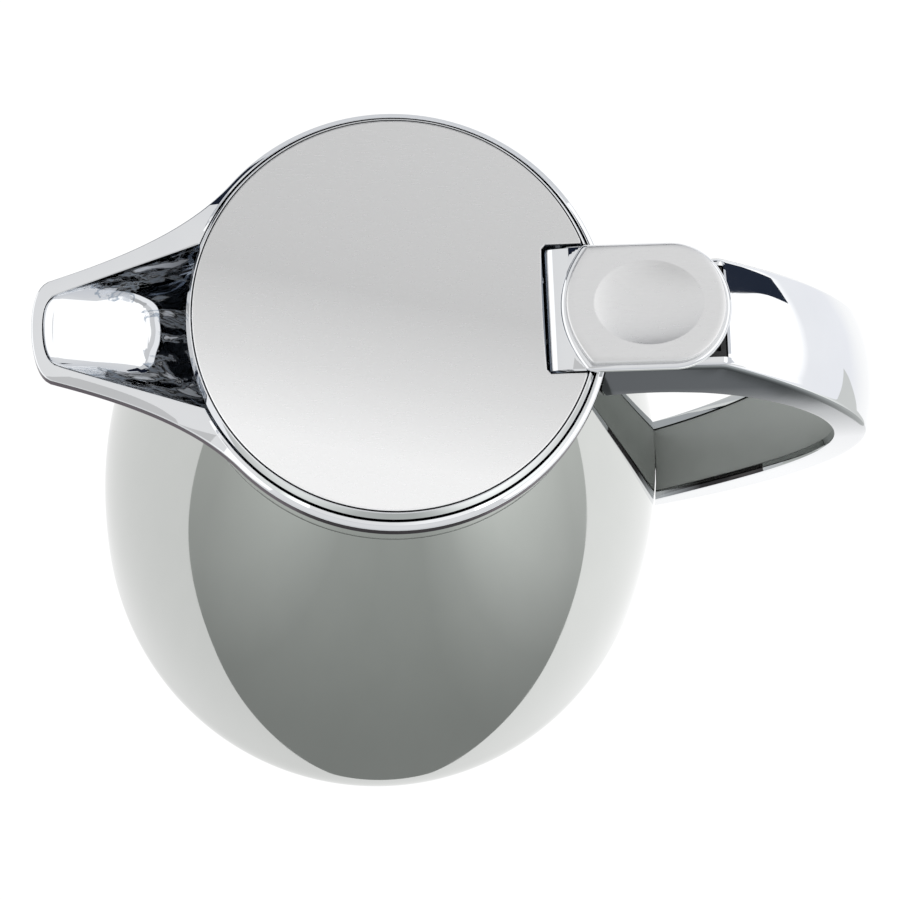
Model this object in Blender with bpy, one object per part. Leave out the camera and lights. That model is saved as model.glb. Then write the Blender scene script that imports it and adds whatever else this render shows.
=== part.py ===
"""Vacuum coffee jug: polished drop-shaped body, chrome collar with a spout, strap handle, press-lever lid.

Lengths are in millimetres and are turned into metres when a mesh is made. The origin is the middle of the
base, +Z points up, the spout points to -X and the handle to +X. Angles are in degrees.
"""

import math

import bmesh
import bpy
import numpy as np

MM = 0.001
GAP = 0.3                     # air left between two pieces that touch on the real jug

# Overall sizes
LID_TOP = 238.0               # height of the satin lid disc
BELLY_RADIUS = 72.9           # widest radius of the jacket
BELLY_HEIGHT = 40.0           # height of the widest point
NECK_SLOPE = 0.26             # outline's radius gained for each millimetre down, at the neck

# Base
FOOT_PAD_MARGIN = 7.5         # from the foot pad's edge to the edge of the base
FOOT_PAD_THICKNESS = 1.0
BASE_INSET = 12.4             # how much narrower the base is than the belly
BASE_PLATE_THICKNESS = 2.0
BASE_RISE = 0.5               # base cap's lower face above the table
BASE_SPIGOT_HEIGHT = 8.5
BASE_SPIGOT_WALL = 2.2
JACKET_LIP = 2.7              # flat ring turned in under the jacket
JACKET_WALL = 0.7
FOOT_HOLE_CLEARANCE = 0.5     # foot screw to its hole in the jacket

# Flask, a double-walled glass bottle
FLASK_CLEARANCE = 1.8         # flask to the hole in the jacket's turned-in lip, so that it can be put in
FLASK_GLASS = 1.2
FLASK_VACUUM = 2.6
FLASK_BOTTOM = 16.0
FLASK_BOTTOM_DEPTH = 28.0     # height of the rounded bottom
FLASK_MOUTH_RADIUS = 27.2     # inside the neck
NECK_VACUUM = 1.0             # space between the two skins in the neck
FLASK_NECK_LENGTH = 16.0
FLASK_SHOULDER_DROP = 52.0
TIP_RADIUS = 1.6              # open pump-out tip under the flask
SUPPORT_INNER = 14.0
SUPPORT_OUTER = 32.0

# Collar and spout
RIM_WIDTH = 1.75              # rim round the lid, from its inner lip to its outer edge
NECK_INSET = 3.3              # how far the body stands back under the rim
LID_CLEARANCE = 0.35          # bezel to collar
RIM_EDGE_DROP = 5.2           # rim's outer edge below the lid disc
RIM_LIP_DROP = 3.6            # inner lip below the lid disc
RIM_EDGE_HEIGHT = 4.0         # height of the rim's upright edge
COLLAR_NECK_HEIGHT = 8.3      # chrome neck between the jacket and the cove under the rim
COLLAR_FLOOR_THICKNESS = 2.0
COLLAR_SPIGOT_LENGTH = 8.0
COLLAR_SPIGOT_WALL = 2.0
BOWL_TAPER = 2.25             # the bowl's wall runs in by this much to its foot
SPOUT_REACH = 84.4
SPOUT_TIP_HALF = 12.0
SPOUT_TIP_ROUND = 4.4
SPOUT_ROOT_ANGLE = 43.0       # where the spout's side leaves the collar's circle
SPOUT_RIM = 3.4               # width of the rim along the spout's sides
SPOUT_TIP_RIM = 2.7
TROUGH_MEETS_LID_ANGLE = 24.0
TROUGH_TIP_DEPTH = 2.8        # from rim to floor at the pouring end

# Lid
DISC_RADIUS = 47.0
DISC_THICKNESS = 0.8
BEZEL_WIDTH = 1.4
BEZEL_DROP = 5.0              # lower edge of the bezel below the disc
LID_PLATE_THICKNESS = 3.5
STOPPER_CLEARANCE = 1.7       # stopper to the inside of the flask's neck
STOPPER_BOTTOM_DROP = 38.0
STOPPER_WALL = 2.3
DRUM_STEP = 5.5               # the drum above the gasket is this much wider than the stopper
DRUM_WALL = 2.5
VALVE_SEAT_RADIUS = 8.0
GASKET_THICKNESS = 1.7
WINDOW_WIDTH = 13.0
WINDOW_ANGLES = (150.0, 180.0, 210.0)

# Lever
PIVOT_X = 39.0
PIVOT_DROP = 6.0              # lever pin below the lid disc
PIN_RADIUS = 1.5
BOSS_WALL = 2.1
CUTOUT_SIDE_GAP = 0.8         # lever neck to the sides of the lid's cut-out
CUTOUT_START = 34.8
LUG_THICKNESS = 3.0
FRAME_BORDER = 1.1            # frame seen round the thumb pad
FRAME_THICKNESS = 2.0
FRAME_RAISED = 0.3            # frame's upper face above the lid disc
PAD_HALF = 14.2
PAD_START = 39.7
PAD_LENGTH = 37.5
LEVER_NEAR_BULGE = 5.6        # depth of the arc at the lid's end of the pad and its frame
PAD_FAR_BULGE = 12.5
PAD_THICKNESS = 2.3
DIMPLE_DEPTH = 1.1
ARM_HALF = 5.0
ARM_THICKNESS = 2.6

# Valve
STEM_RADIUS = 2.0
HEAD_RADIUS = 5.0
HEAD_THICKNESS = 2.4
PLUG_RADIUS = 10.0
PLUG_THICKNESS = 3.0
SEAL_THICKNESS = 1.3
SPRING_RADIUS = 4.5
SPRING_WIRE = 1.0
SPRING_TURNS = 5
RETAINER_THICKNESS = 1.7

# Handle
STRAP_TOP_DROP = 6.5          # top of the strap and its rails below the lid disc
STRAP_REACH = 118.5           # outer edge line at the bend
STRAP_BEND_DROP = 78.0        # the bend below the lid disc
STRAP_WALL = 2.2
STRAP_CROWN = 1.7
GRIP_THICKNESS = 8.7          # of the handle at the bend, from its edge line to its inner face
HANDLE_ROOT_DROP = 32.0       # underside of the upper limb at the collar, below the lid disc
HANDLE_FOOT_DROP = 158.5      # lower edge of the handle's foot below the lid disc
HANDLE_FOOT_THICKNESS = 8.9
RAIL_INSET = 2.0              # rails stand this far in from the lever frame's sides
STRAP_WIDEST_HALF = 14.2
FOOT_HALF = 10.5
SHELL_THICKNESS = 2.0
POCKET_FLOOR_DROP = 17.0
LINER_WALL = 1.2
LINER_FLOOR = 1.4
NECK_SCREW_REACH = 9.0        # screw heads' seats, outside the collar's edge
SCREW_RADIUS = 1.5
SCREW_HEAD_RADIUS = 2.8
NECK_SCREW_SPREAD = 7.0
NECK_SCREW_DROP = 23.5
FOOT_SCREW_RADIUS = 1.4
FOOT_SCREW_HEAD = 2.9
FOOT_SCREW_TIP = 8.0
FOOT_SCREW_TILT = 38.0        # the screw leans up along the handle

# Heights and radii that follow from the sizes above
BEZEL_RADIUS = DISC_RADIUS + BEZEL_WIDTH
COLLAR_INNER = BEZEL_RADIUS + LID_CLEARANCE
COLLAR_RADIUS = COLLAR_INNER + RIM_WIDTH
NECK_RADIUS = COLLAR_RADIUS - NECK_INSET
BOWL_RADIUS = COLLAR_INNER - BOWL_TAPER
BASE_RADIUS = BELLY_RADIUS - BASE_INSET
FOOT_PAD_RADIUS = BASE_RADIUS - FOOT_PAD_MARGIN
FLASK_RADIUS = BASE_RADIUS - JACKET_LIP - FLASK_CLEARANCE
FLASK_NECK_RADIUS = FLASK_MOUTH_RADIUS + 2 * FLASK_GLASS + NECK_VACUUM
STOPPER_RADIUS = FLASK_MOUTH_RADIUS - STOPPER_CLEARANCE
DRUM_RADIUS = STOPPER_RADIUS + DRUM_STEP
BOSS_RADIUS = PIN_RADIUS + BOSS_WALL
FRAME_HALF = PAD_HALF + FRAME_BORDER
FRAME_START = PAD_START - 1.1
FRAME_END = PAD_START + PAD_LENGTH + 1.4
CUTOUT_HALF = FRAME_HALF + GAP
LEVER_HALF = CUTOUT_HALF - CUTOUT_SIDE_GAP
RAIL_HALF = FRAME_HALF - RAIL_INSET
STRAP_START = FRAME_END - 0.8
STRAP_BEND_HEIGHT = LID_TOP - STRAP_BEND_DROP
HANDLE_GRIP_REACH = STRAP_REACH - GRIP_THICKNESS
HANDLE_ROOT_HEIGHT = LID_TOP - HANDLE_ROOT_DROP
HANDLE_FOOT_OUTER = LID_TOP - HANDLE_FOOT_DROP
HANDLE_FOOT_INNER = HANDLE_FOOT_OUTER + HANDLE_FOOT_THICKNESS
RIM_TOP = LID_TOP - RIM_EDGE_DROP
LIP_TOP = LID_TOP - RIM_LIP_DROP
COVE_HEIGHT = RIM_TOP - RIM_EDGE_HEIGHT - 2.8
JACKET_TOP = COVE_HEIGHT - COLLAR_NECK_HEIGHT + GAP
FLOOR_UNDER = JACKET_TOP - 1.2
FLOOR_TOP = FLOOR_UNDER + COLLAR_FLOOR_THICKNESS
FLASK_MOUTH = FLOOR_UNDER - GAP - 2.5 - GAP
BASE_RECESS = FOOT_PAD_THICKNESS + GAP
BASE_TOP = BASE_RECESS + BASE_PLATE_THICKNESS
JACKET_BOTTOM = BASE_TOP + GAP
PLATE_TOP = LID_TOP - DISC_THICKNESS - GAP
PLATE_UNDER = PLATE_TOP - LID_PLATE_THICKNESS
STOPPER_BOTTOM = LID_TOP - STOPPER_BOTTOM_DROP
SEAT_TOP = STOPPER_BOTTOM + 3.0
SHOULDER_UNDER = FLOOR_TOP + GAP + GASKET_THICKNESS + GAP
LEDGE = SHOULDER_UNDER + 1.5
PIVOT_Z = LID_TOP - PIVOT_DROP
FRAME_TOP = LID_TOP + FRAME_RAISED
PAD_UNDER = FRAME_TOP + GAP
SEAL_UNDER = SEAT_TOP + GAP
PLUG_UNDER = SEAL_UNDER + SEAL_THICKNESS + GAP
PLUG_TOP = PLUG_UNDER + PLUG_THICKNESS
RETAINER_UNDER = LEDGE + GAP
RETAINER_TOP = RETAINER_UNDER + RETAINER_THICKNESS
ARM_UNDER = RETAINER_TOP + 2.0
ARM_TOP = ARM_UNDER + ARM_THICKNESS
HEAD_UNDER = ARM_TOP + 0.8
HEAD_TOP = HEAD_UNDER + HEAD_THICKNESS
STRAP_TOP = LID_TOP - STRAP_TOP_DROP
POCKET_FLOOR = LID_TOP - POCKET_FLOOR_DROP
NECK_SCREW_Z = LID_TOP - NECK_SCREW_DROP
NECK_SCREW_SEAT = COLLAR_RADIUS + NECK_SCREW_REACH

ROUND = 36                    # sides of a large turned piece
SMALL = 20                    # sides of a small turned piece


# ---------------------------------------------------------------- helpers

def clear_scene():
    for old in list(bpy.data.objects):
        bpy.data.objects.remove(old, do_unlink=True)


def material(name, colour, roughness, metallic):
    made = bpy.data.materials.get(name) or bpy.data.materials.new(name)
    made.use_nodes = True
    shader = made.node_tree.nodes["Principled BSDF"]
    shader.inputs["Base Color"].default_value = (*colour, 1.0)
    shader.inputs["Roughness"].default_value = roughness
    shader.inputs["Metallic"].default_value = metallic
    made.diffuse_color = (*colour, 1.0)
    return made


def finish_mesh(name, bm, finish=None, smooth_deg=35.0):
    bmesh.ops.recalc_face_normals(bm, faces=bm.faces)
    bmesh.ops.scale(bm, vec=(MM, MM, MM), verts=bm.verts)
    mesh = bpy.data.meshes.new(name)
    bm.to_mesh(mesh)
    bm.free()
    mesh.shade_smooth()
    mesh.set_sharp_from_angle(angle=math.radians(smooth_deg))
    piece = bpy.data.objects.new(name, mesh)
    bpy.context.scene.collection.objects.link(piece)
    if finish:
        mesh.materials.append(finish)
    return piece


def rings_to_mesh(rings, closed_round):
    """Joins rings of points. A ring is one loop; closed_round also joins the last ring to the first."""
    bm = bmesh.new()
    made = [[bm.verts.new(point) for point in ring] for ring in rings]
    steps = len(made) if closed_round else len(made) - 1
    count = len(rings[0])
    for step in range(steps):
        here = made[step]
        there = made[(step + 1) % len(made)]
        for k in range(count):
            after = (k + 1) % count
            bm.faces.new((here[k], here[after], there[after], there[k]))
    if not closed_round:
        bm.faces.new(made[0])
        bm.faces.new(made[-1])
    return bm


def turned(name, profile, finish=None, sides=ROUND, centre=(0.0, 0.0)):
    """Turns a closed outline of (radius, height) points round a vertical axis."""
    bm = bmesh.new()
    columns = []
    for radius, height in profile:
        if radius < 1e-6:
            columns.append([bm.verts.new((centre[0], centre[1], height))] * sides)
            continue
        column = []
        for k in range(sides):
            a = 2.0 * math.pi * k / sides
            spot = (centre[0] + radius * math.cos(a), centre[1] + radius * math.sin(a), height)
            column.append(bm.verts.new(spot))
        columns.append(column)
    for index, here in enumerate(columns):
        there = columns[(index + 1) % len(columns)]
        for k in range(sides):
            after = (k + 1) % sides
            corners = []
            for vertex in (here[k], here[after], there[after], there[k]):
                if vertex not in corners:
                    corners.append(vertex)
            if len(corners) > 2:
                bm.faces.new(corners)
    return finish_mesh(name, bm, finish)


def rod(name, start, end, radius, finish=None, sides=SMALL):
    """A plain cylinder between two points."""
    start, end = np.array(start, float), np.array(end, float)
    along = (end - start) / np.linalg.norm(end - start)
    across = np.cross(along, (0.0, 0.0, 1.0) if abs(along[2]) < 0.9 else (1.0, 0.0, 0.0))
    across /= np.linalg.norm(across)
    other = np.cross(along, across)
    turns = [2.0 * math.pi * k / sides for k in range(sides)]
    loop = [radius * (math.cos(a) * across + math.sin(a) * other) for a in turns]
    rings = [[start + p for p in loop], [end + p for p in loop]]
    return finish_mesh(name, rings_to_mesh(rings, False), finish)


def block(name, low, high, finish=None):
    corners = [(low[0], low[1]), (high[0], low[1]), (high[0], high[1]), (low[0], high[1])]
    rings = [[(x, y, z) for x, y in corners] for z in (low[2], high[2])]
    return finish_mesh(name, rings_to_mesh(rings, False), finish)


def side_prism(name, outline, half, finish=None):
    """An outline of (x, z) points given thickness along Y, the same on both sides of the middle."""
    rings = [[(x, y, z) for x, z in outline] for y in (-half, half)]
    return finish_mesh(name, rings_to_mesh(rings, False), finish)


def plan_prism(name, outline, low, high, finish=None):
    rings = [[(x, y, z) for x, y in outline] for z in (low, high)]
    return finish_mesh(name, rings_to_mesh(rings, False), finish)


def combine(piece, other, operation):
    """Adds a live Boolean and hides the helper."""
    change = piece.modifiers.new(other.name, "BOOLEAN")
    change.operation = operation
    change.solver = "EXACT"
    change.object = other
    other.hide_render = True
    other.display_type = "WIRE"


def bezier(points, count):
    """Points along one cubic curve with four control points."""
    a, b, c, d = (np.array(p, float) for p in points)
    out = []
    for k in range(count):
        t = k / (count - 1)
        out.append((1 - t) ** 3 * a + 3 * (1 - t) ** 2 * t * b + 3 * (1 - t) * t * t * c + t ** 3 * d)
    return np.array(out)


def ease(low, high, value):
    """0 below low, 1 above high, smooth between."""
    t = min(max((value - low) / (high - low), 0.0), 1.0)
    return t * t * (3.0 - 2.0 * t)


# ---------------------------------------------------------------- body outline

def body_outline(count):
    """Outer outline of the jacket from the rim's underside to the base, as (radius, height)."""
    fall = COVE_HEIGHT - BELLY_HEIGHT
    upper = bezier([
        (NECK_RADIUS, COVE_HEIGHT),
        (NECK_RADIUS + NECK_SLOPE * 0.45 * fall, COVE_HEIGHT - 0.45 * fall),
        (BELLY_RADIUS, BELLY_HEIGHT + 0.335 * fall),
        (BELLY_RADIUS, BELLY_HEIGHT),
    ], count)
    drop = BELLY_HEIGHT - JACKET_BOTTOM
    lower = bezier([
        (BELLY_RADIUS, BELLY_HEIGHT),
        (BELLY_RADIUS, BELLY_HEIGHT - 0.66 * drop),
        (BASE_RADIUS + 8.5, JACKET_BOTTOM + 0.047 * drop),
        (BASE_RADIUS, JACKET_BOTTOM),
    ], max(count // 2 + 1, 4))
    return np.vstack([upper, lower[1:]])


FINE_OUTLINE = body_outline(400)


def body_radius(height):
    return float(np.interp(height, FINE_OUTLINE[::-1, 1], FINE_OUTLINE[::-1, 0]))


def inset(points, distance):
    """Moves an outline that runs down the outside inwards, along its own normals."""
    points = np.asarray(points, float)
    along = np.gradient(points, axis=0)
    along /= np.linalg.norm(along, axis=1)[:, None]
    inward = np.column_stack([along[:, 1], -along[:, 0]])
    return points + distance * inward


# ---------------------------------------------------------------- base and body

def make_foot_pad(finish):
    profile = [(0, FOOT_PAD_THICKNESS), (FOOT_PAD_RADIUS, FOOT_PAD_THICKNESS), (FOOT_PAD_RADIUS, 0), (0, 0)]
    return turned("foot_pad", profile, finish)


def make_base_cap(finish):
    spigot = BASE_RADIUS - JACKET_LIP - GAP
    recess = FOOT_PAD_RADIUS + GAP
    profile = [
        (0, BASE_TOP),
        (spigot - BASE_SPIGOT_WALL, BASE_TOP),
        (spigot - BASE_SPIGOT_WALL, BASE_TOP + BASE_SPIGOT_HEIGHT),
        (spigot, BASE_TOP + BASE_SPIGOT_HEIGHT),
        (spigot, BASE_TOP),
        (BASE_RADIUS, BASE_TOP),
        (BASE_RADIUS - 0.6, BASE_RISE + 0.8),
        (BASE_RADIUS - 2.0, BASE_RISE),
        (recess, BASE_RISE),
        (recess, BASE_RECESS),
        (0, BASE_RECESS),
    ]
    return turned("base_cap", profile, finish)


def make_jacket(finish):
    outer = [p for p in body_outline(11) if p[1] < JACKET_TOP - 1.0]
    outer = np.vstack([[(body_radius(JACKET_TOP), JACKET_TOP)], outer])
    inner = inset(outer, JACKET_WALL)[:-1]
    inner[0, 1] = JACKET_TOP
    lip = BASE_RADIUS - JACKET_LIP
    profile = [tuple(p) for p in outer]
    profile.append((lip, JACKET_BOTTOM))
    profile.append((lip, JACKET_BOTTOM + JACKET_WALL))
    profile.append((BASE_RADIUS, JACKET_BOTTOM + JACKET_WALL))
    profile.extend(tuple(p) for p in inner[::-1])
    jacket = turned("body_jacket", profile, finish)
    for side in (-1, 1):
        combine(jacket, neck_screw_hole("jacket_neck_hole", side, SCREW_RADIUS + GAP), "DIFFERENCE")
    hole = rod("jacket_foot_hole", foot_screw_spot(-6.0), foot_screw_spot(6.0),
               FOOT_SCREW_RADIUS + FOOT_HOLE_CLEARANCE, sides=12)
    combine(jacket, hole, "DIFFERENCE")
    return jacket


def flask_wall(outer_radius, neck_radius, bottom, depth):
    """Outline of one glass skin, from the axis at the bottom up to just under the mouth."""
    shoulder_foot = FLASK_MOUTH - FLASK_NECK_LENGTH - FLASK_SHOULDER_DROP
    points = []
    for k in range(6):
        a = math.radians(90.0 * k / 5)
        points.append((outer_radius * math.sin(a), bottom + depth * (1.0 - math.cos(a))))
    shoulder = bezier([
        (outer_radius, shoulder_foot),
        (outer_radius, shoulder_foot + 0.5 * FLASK_SHOULDER_DROP),
        (neck_radius, FLASK_MOUTH - FLASK_NECK_LENGTH - 0.35 * FLASK_SHOULDER_DROP),
        (neck_radius, FLASK_MOUTH - FLASK_NECK_LENGTH),
    ], 6)
    points.extend(tuple(p) for p in shoulder)
    return points


def flask_outer_z(radius):
    return FLASK_BOTTOM + FLASK_BOTTOM_DEPTH * (1.0 - math.sqrt(1.0 - (radius / FLASK_RADIUS) ** 2))


def make_flask(finish):
    between = FLASK_GLASS + FLASK_VACUUM
    skin = FLASK_GLASS
    outer_out = flask_wall(FLASK_RADIUS, FLASK_NECK_RADIUS, FLASK_BOTTOM, FLASK_BOTTOM_DEPTH)
    outer_in = flask_wall(FLASK_RADIUS - skin, FLASK_NECK_RADIUS - skin, FLASK_BOTTOM + skin,
                          FLASK_BOTTOM_DEPTH - skin)
    inner_out = flask_wall(FLASK_RADIUS - between, FLASK_MOUTH_RADIUS + skin, FLASK_BOTTOM + between,
                           FLASK_BOTTOM_DEPTH - between)
    inner_in = flask_wall(FLASK_RADIUS - between - skin, FLASK_MOUTH_RADIUS, FLASK_BOTTOM + between + skin,
                          FLASK_BOTTOM_DEPTH - between - skin)
    closing = FLASK_MOUTH - 2.0
    profile = [(TIP_RADIUS, FLASK_BOTTOM)] + outer_out[1:]
    profile += [(FLASK_NECK_RADIUS, FLASK_MOUTH), (FLASK_MOUTH_RADIUS, FLASK_MOUTH)]
    profile += inner_in[::-1]
    profile += inner_out
    profile += [(FLASK_MOUTH_RADIUS + skin, closing), (FLASK_NECK_RADIUS - skin, closing)]
    profile += outer_in[1:][::-1] + [(TIP_RADIUS, FLASK_BOTTOM + skin)]
    return turned("vacuum_flask", profile, finish, sides=24)


def make_flask_support(finish):
    radii = np.linspace(SUPPORT_OUTER, SUPPORT_INNER, 5)
    profile = [(r, flask_outer_z(r) - 2 * GAP) for r in radii]
    profile += [(SUPPORT_INNER, BASE_TOP + GAP), (SUPPORT_OUTER, BASE_TOP + GAP)]
    return turned("flask_support", profile[::-1], finish, sides=32)


def make_neck_gasket(finish):
    inner = FLASK_MOUTH_RADIUS + GAP
    profile = [
        (inner, FLOOR_UNDER - GAP),
        (FLASK_NECK_RADIUS + 2.0, FLOOR_UNDER - GAP),
        (FLASK_NECK_RADIUS + 2.0, FLASK_MOUTH - 4.0),
        (FLASK_NECK_RADIUS + 2 * GAP, FLASK_MOUTH - 4.0),
        (FLASK_NECK_RADIUS + 2 * GAP, FLASK_MOUTH + GAP),
        (inner, FLASK_MOUTH + GAP),
    ]
    return turned("neck_gasket", profile, finish, sides=32)


# ---------------------------------------------------------------- collar with spout

def polar_outline(points):
    """Turns plan points (distance out, sideways) into arrays of angle and radius that rise in angle."""
    points = np.asarray(points, float)
    angles = np.degrees(np.arctan2(points[:, 1], points[:, 0]))
    order = np.argsort(angles)
    return angles[order], np.hypot(points[:, 0], points[:, 1])[order]


def spout_outer():
    tip = bezier([(SPOUT_REACH, 0), (SPOUT_REACH, 0.5 * SPOUT_TIP_HALF),
                  (SPOUT_REACH - 0.32 * SPOUT_TIP_ROUND, 0.92 * SPOUT_TIP_HALF),
                  (SPOUT_REACH - SPOUT_TIP_ROUND, SPOUT_TIP_HALF)], 30)
    root = math.radians(SPOUT_ROOT_ANGLE)
    end = np.array([COLLAR_RADIUS * math.cos(root), COLLAR_RADIUS * math.sin(root)])
    along = np.array([math.sin(root), -math.cos(root)])
    start = tip[-1]
    run = start[0] - end[0]
    side = bezier([start, start + np.array([-0.51, 0.153]) * run, end + 12.5 * along, end], 60)
    return polar_outline(np.vstack([tip, side[1:]]))


def spout_inner():
    reach = SPOUT_REACH - SPOUT_TIP_RIM
    half = SPOUT_TIP_HALF - SPOUT_RIM + 0.3
    corner = np.array([SPOUT_REACH - SPOUT_TIP_ROUND - SPOUT_TIP_RIM, half])
    tip = bezier([(reach, 0), (reach, 0.55 * half), (reach - 0.9, 0.92 * half), corner], 30)
    meet = math.radians(TROUGH_MEETS_LID_ANGLE)
    end = COLLAR_INNER * np.array([math.cos(meet), math.sin(meet)])
    run = corner[0] - end[0]
    leaving = corner + np.array([-0.45, 0.155]) * run
    arriving = end + np.array([0.25, -0.085]) * run
    side = bezier([corner, leaving, arriving, end], 60)
    return polar_outline(np.vstack([tip, side[1:]]))


OUTER_ANGLES, OUTER_RADII = spout_outer()
INNER_ANGLES, INNER_RADII = spout_inner()


def rim_outer(off):
    """Outer radius of the rim at an angle of off degrees from the spout's middle."""
    return float(np.interp(abs(off), OUTER_ANGLES, OUTER_RADII, right=COLLAR_RADIUS))


def rim_inner(off):
    return float(np.interp(abs(off), INNER_ANGLES, INNER_RADII, right=COLLAR_INNER))


def dished(radius, low_radius, edge_radius, low, edge, power):
    """A height that stays near low and climbs to edge as radius nears edge_radius."""
    part = (radius - low_radius) / (edge_radius - low_radius)
    return low + (edge - low) * part ** power


def collar_loop(off):
    """The collar's section at one angle, as (radius, height) points going once round it."""
    spout = 1.0 - ease(20.0, 40.0, abs(off))
    outer = rim_outer(off)
    inner = rim_inner(off)
    lip = LIP_TOP + (RIM_TOP + 0.1 - LIP_TOP) * (1.0 - ease(24.0, 38.0, abs(off)))
    edge_foot = RIM_TOP - RIM_EDGE_HEIGHT
    spigot = body_radius(JACKET_TOP) - JACKET_WALL - 0.5
    hole = FLASK_MOUTH_RADIUS + GAP
    loop = [
        (hole, FLOOR_UNDER),
        (spigot - COLLAR_SPIGOT_WALL, FLOOR_UNDER),
        (spigot - COLLAR_SPIGOT_WALL, FLOOR_UNDER - COLLAR_SPIGOT_LENGTH),
        (spigot, FLOOR_UNDER - COLLAR_SPIGOT_LENGTH),
        (spigot, JACKET_TOP + GAP),
    ]
    neck_foot = JACKET_TOP + GAP
    neck_radius = body_radius(neck_foot)
    loop.append((neck_radius, neck_foot))
    keel_end = outer - 0.6
    keel_rise = edge_foot - neck_foot - 0.6
    full_reach = SPOUT_REACH - 0.6 - neck_radius
    plain = [(body_radius(neck_foot + k * (COVE_HEIGHT - neck_foot) / 3.0),
              neck_foot + k * (COVE_HEIGHT - neck_foot) / 3.0) for k in (1, 2, 3)]
    plain.append((0.5 * (NECK_RADIUS + COLLAR_RADIUS) - 0.4, COVE_HEIGHT + 1.6))
    plain.append((COLLAR_RADIUS - 0.6, edge_foot - 0.2))
    for k, spot in enumerate(plain):
        share = (k + 1) / len(plain)
        radius = neck_radius + (keel_end - neck_radius) * share
        keel = neck_foot + 0.6 + keel_rise * (radius - neck_radius) / full_reach
        height = dished(radius, neck_radius, keel_end, keel, edge_foot - 0.2, 2.5)
        loop.append((spot[0] + (radius - spot[0]) * spout, spot[1] + (height - spot[1]) * spout))
    loop += [
        (outer, edge_foot + 0.6),
        (outer, RIM_TOP - 0.45),
        (outer - 0.45, RIM_TOP),
        (inner + 0.75, RIM_TOP + 0.15 + 0.2 * (1.0 - spout)),
        (inner + 0.12, lip),
        (inner, lip - 0.3),
    ]
    floor_low = FLOOR_TOP + 1.2
    floor_high = RIM_TOP - TROUGH_TIP_DEPTH
    full_trough = SPOUT_REACH - SPOUT_TIP_RIM - BOWL_RADIUS
    for share in (0.95, 0.87, 0.76, 0.6, 0.4, 0.2, 0.0):
        radius = BOWL_RADIUS + (inner - BOWL_RADIUS) * share
        floor = floor_low + (floor_high - floor_low) * (radius - BOWL_RADIUS) / full_trough
        loop.append((radius, dished(radius, BOWL_RADIUS, inner, floor, lip - 0.3, 3.5)))
    loop += [
        (BOWL_RADIUS - 1.2, FLOOR_TOP + 0.4),
        (BOWL_RADIUS - 3.5, FLOOR_TOP + 0.1),
        (hole, FLOOR_TOP),
    ]
    return loop


def collar_angles():
    """Angles from the spout's middle, close together over the spout."""
    tip = np.linspace(0.0, 14.0, 7)
    sides = np.linspace(16.8, 44.8, 10)
    ring = np.linspace(54.0, 180.0, 15)
    half = [*tip, *sides, *ring]
    return half + [-a for a in half[1:-1]][::-1]


def make_collar(finish):
    rings = []
    for off in collar_angles():
        turn = math.radians(180.0 + off)
        rings.append([(r * math.cos(turn), r * math.sin(turn), z) for r, z in collar_loop(off)])
    collar = finish_mesh("collar_with_spout", rings_to_mesh(rings, True), finish)
    for side in (-1, 1):
        combine(collar, neck_screw_hole("collar_neck_hole", side, SCREW_RADIUS + GAP), "DIFFERENCE")
    return collar


# ---------------------------------------------------------------- handle

def handle_outer():
    """Outer edge line of the handle in the X-Z plane, from the collar over the pocket to its foot."""
    flat = [(x, STRAP_TOP) for x in np.linspace(COLLAR_RADIUS - 5.0, STRAP_START - 1.4, 4)]
    bend = (STRAP_REACH, STRAP_BEND_HEIGHT)
    upper_run = STRAP_TOP - STRAP_BEND_HEIGHT
    upper = bezier([(STRAP_START, STRAP_TOP - 0.5),
                    (STRAP_START + 21.0, STRAP_TOP - 0.29 * upper_run),
                    (STRAP_REACH, STRAP_BEND_HEIGHT + 0.35 * upper_run), bend], 11)
    foot = (body_radius(HANDLE_FOOT_OUTER) + 0.9, HANDLE_FOOT_OUTER)
    lower_run = STRAP_BEND_HEIGHT - HANDLE_FOOT_OUTER
    lower = bezier([bend, (STRAP_REACH + 1.0, STRAP_BEND_HEIGHT - 0.36 * lower_run),
                    (foot[0] + 25.0, foot[1] + 17.0), foot], 10)
    buried = (foot[0] - 7.0, foot[1] - 4.6)
    return np.vstack([flat, upper, lower[1:], [buried]])


def handle_inner():
    """Inner face line of the handle, with as many points as handle_outer."""
    bend = (HANDLE_GRIP_REACH, STRAP_BEND_HEIGHT)
    root = (COLLAR_RADIUS - 2.5, HANDLE_ROOT_HEIGHT)
    rise = HANDLE_ROOT_HEIGHT - STRAP_BEND_HEIGHT
    upper = bezier([root, (root[0] + 36.0, HANDLE_ROOT_HEIGHT + 10.0),
                    (HANDLE_GRIP_REACH, STRAP_BEND_HEIGHT + 0.61 * rise), bend], 61)
    picks = [0, 4, 8, 13] + [16 + round(k * 4.4) for k in range(10)] + [60]
    foot = (body_radius(HANDLE_FOOT_INNER) + 0.2, HANDLE_FOOT_INNER)
    fall = STRAP_BEND_HEIGHT - HANDLE_FOOT_INNER
    lower = bezier([bend, (HANDLE_GRIP_REACH, STRAP_BEND_HEIGHT - 0.31 * fall),
                    (foot[0] + 21.3, foot[1] + 21.6), foot], 10)
    buried = (foot[0] - 6.0, foot[1] - 6.0)
    return np.vstack([upper[picks], lower[1:], [buried]])


def handle_half(share):
    """Half-width of the handle, from 0 at the collar to 1 at its foot."""
    if share < 0.4:
        return RAIL_HALF + (STRAP_WIDEST_HALF - RAIL_HALF) * ease(0.08, 0.36, share)
    return STRAP_WIDEST_HALF + (FOOT_HALF - STRAP_WIDEST_HALF) * ease(0.4, 1.0, share)


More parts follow.
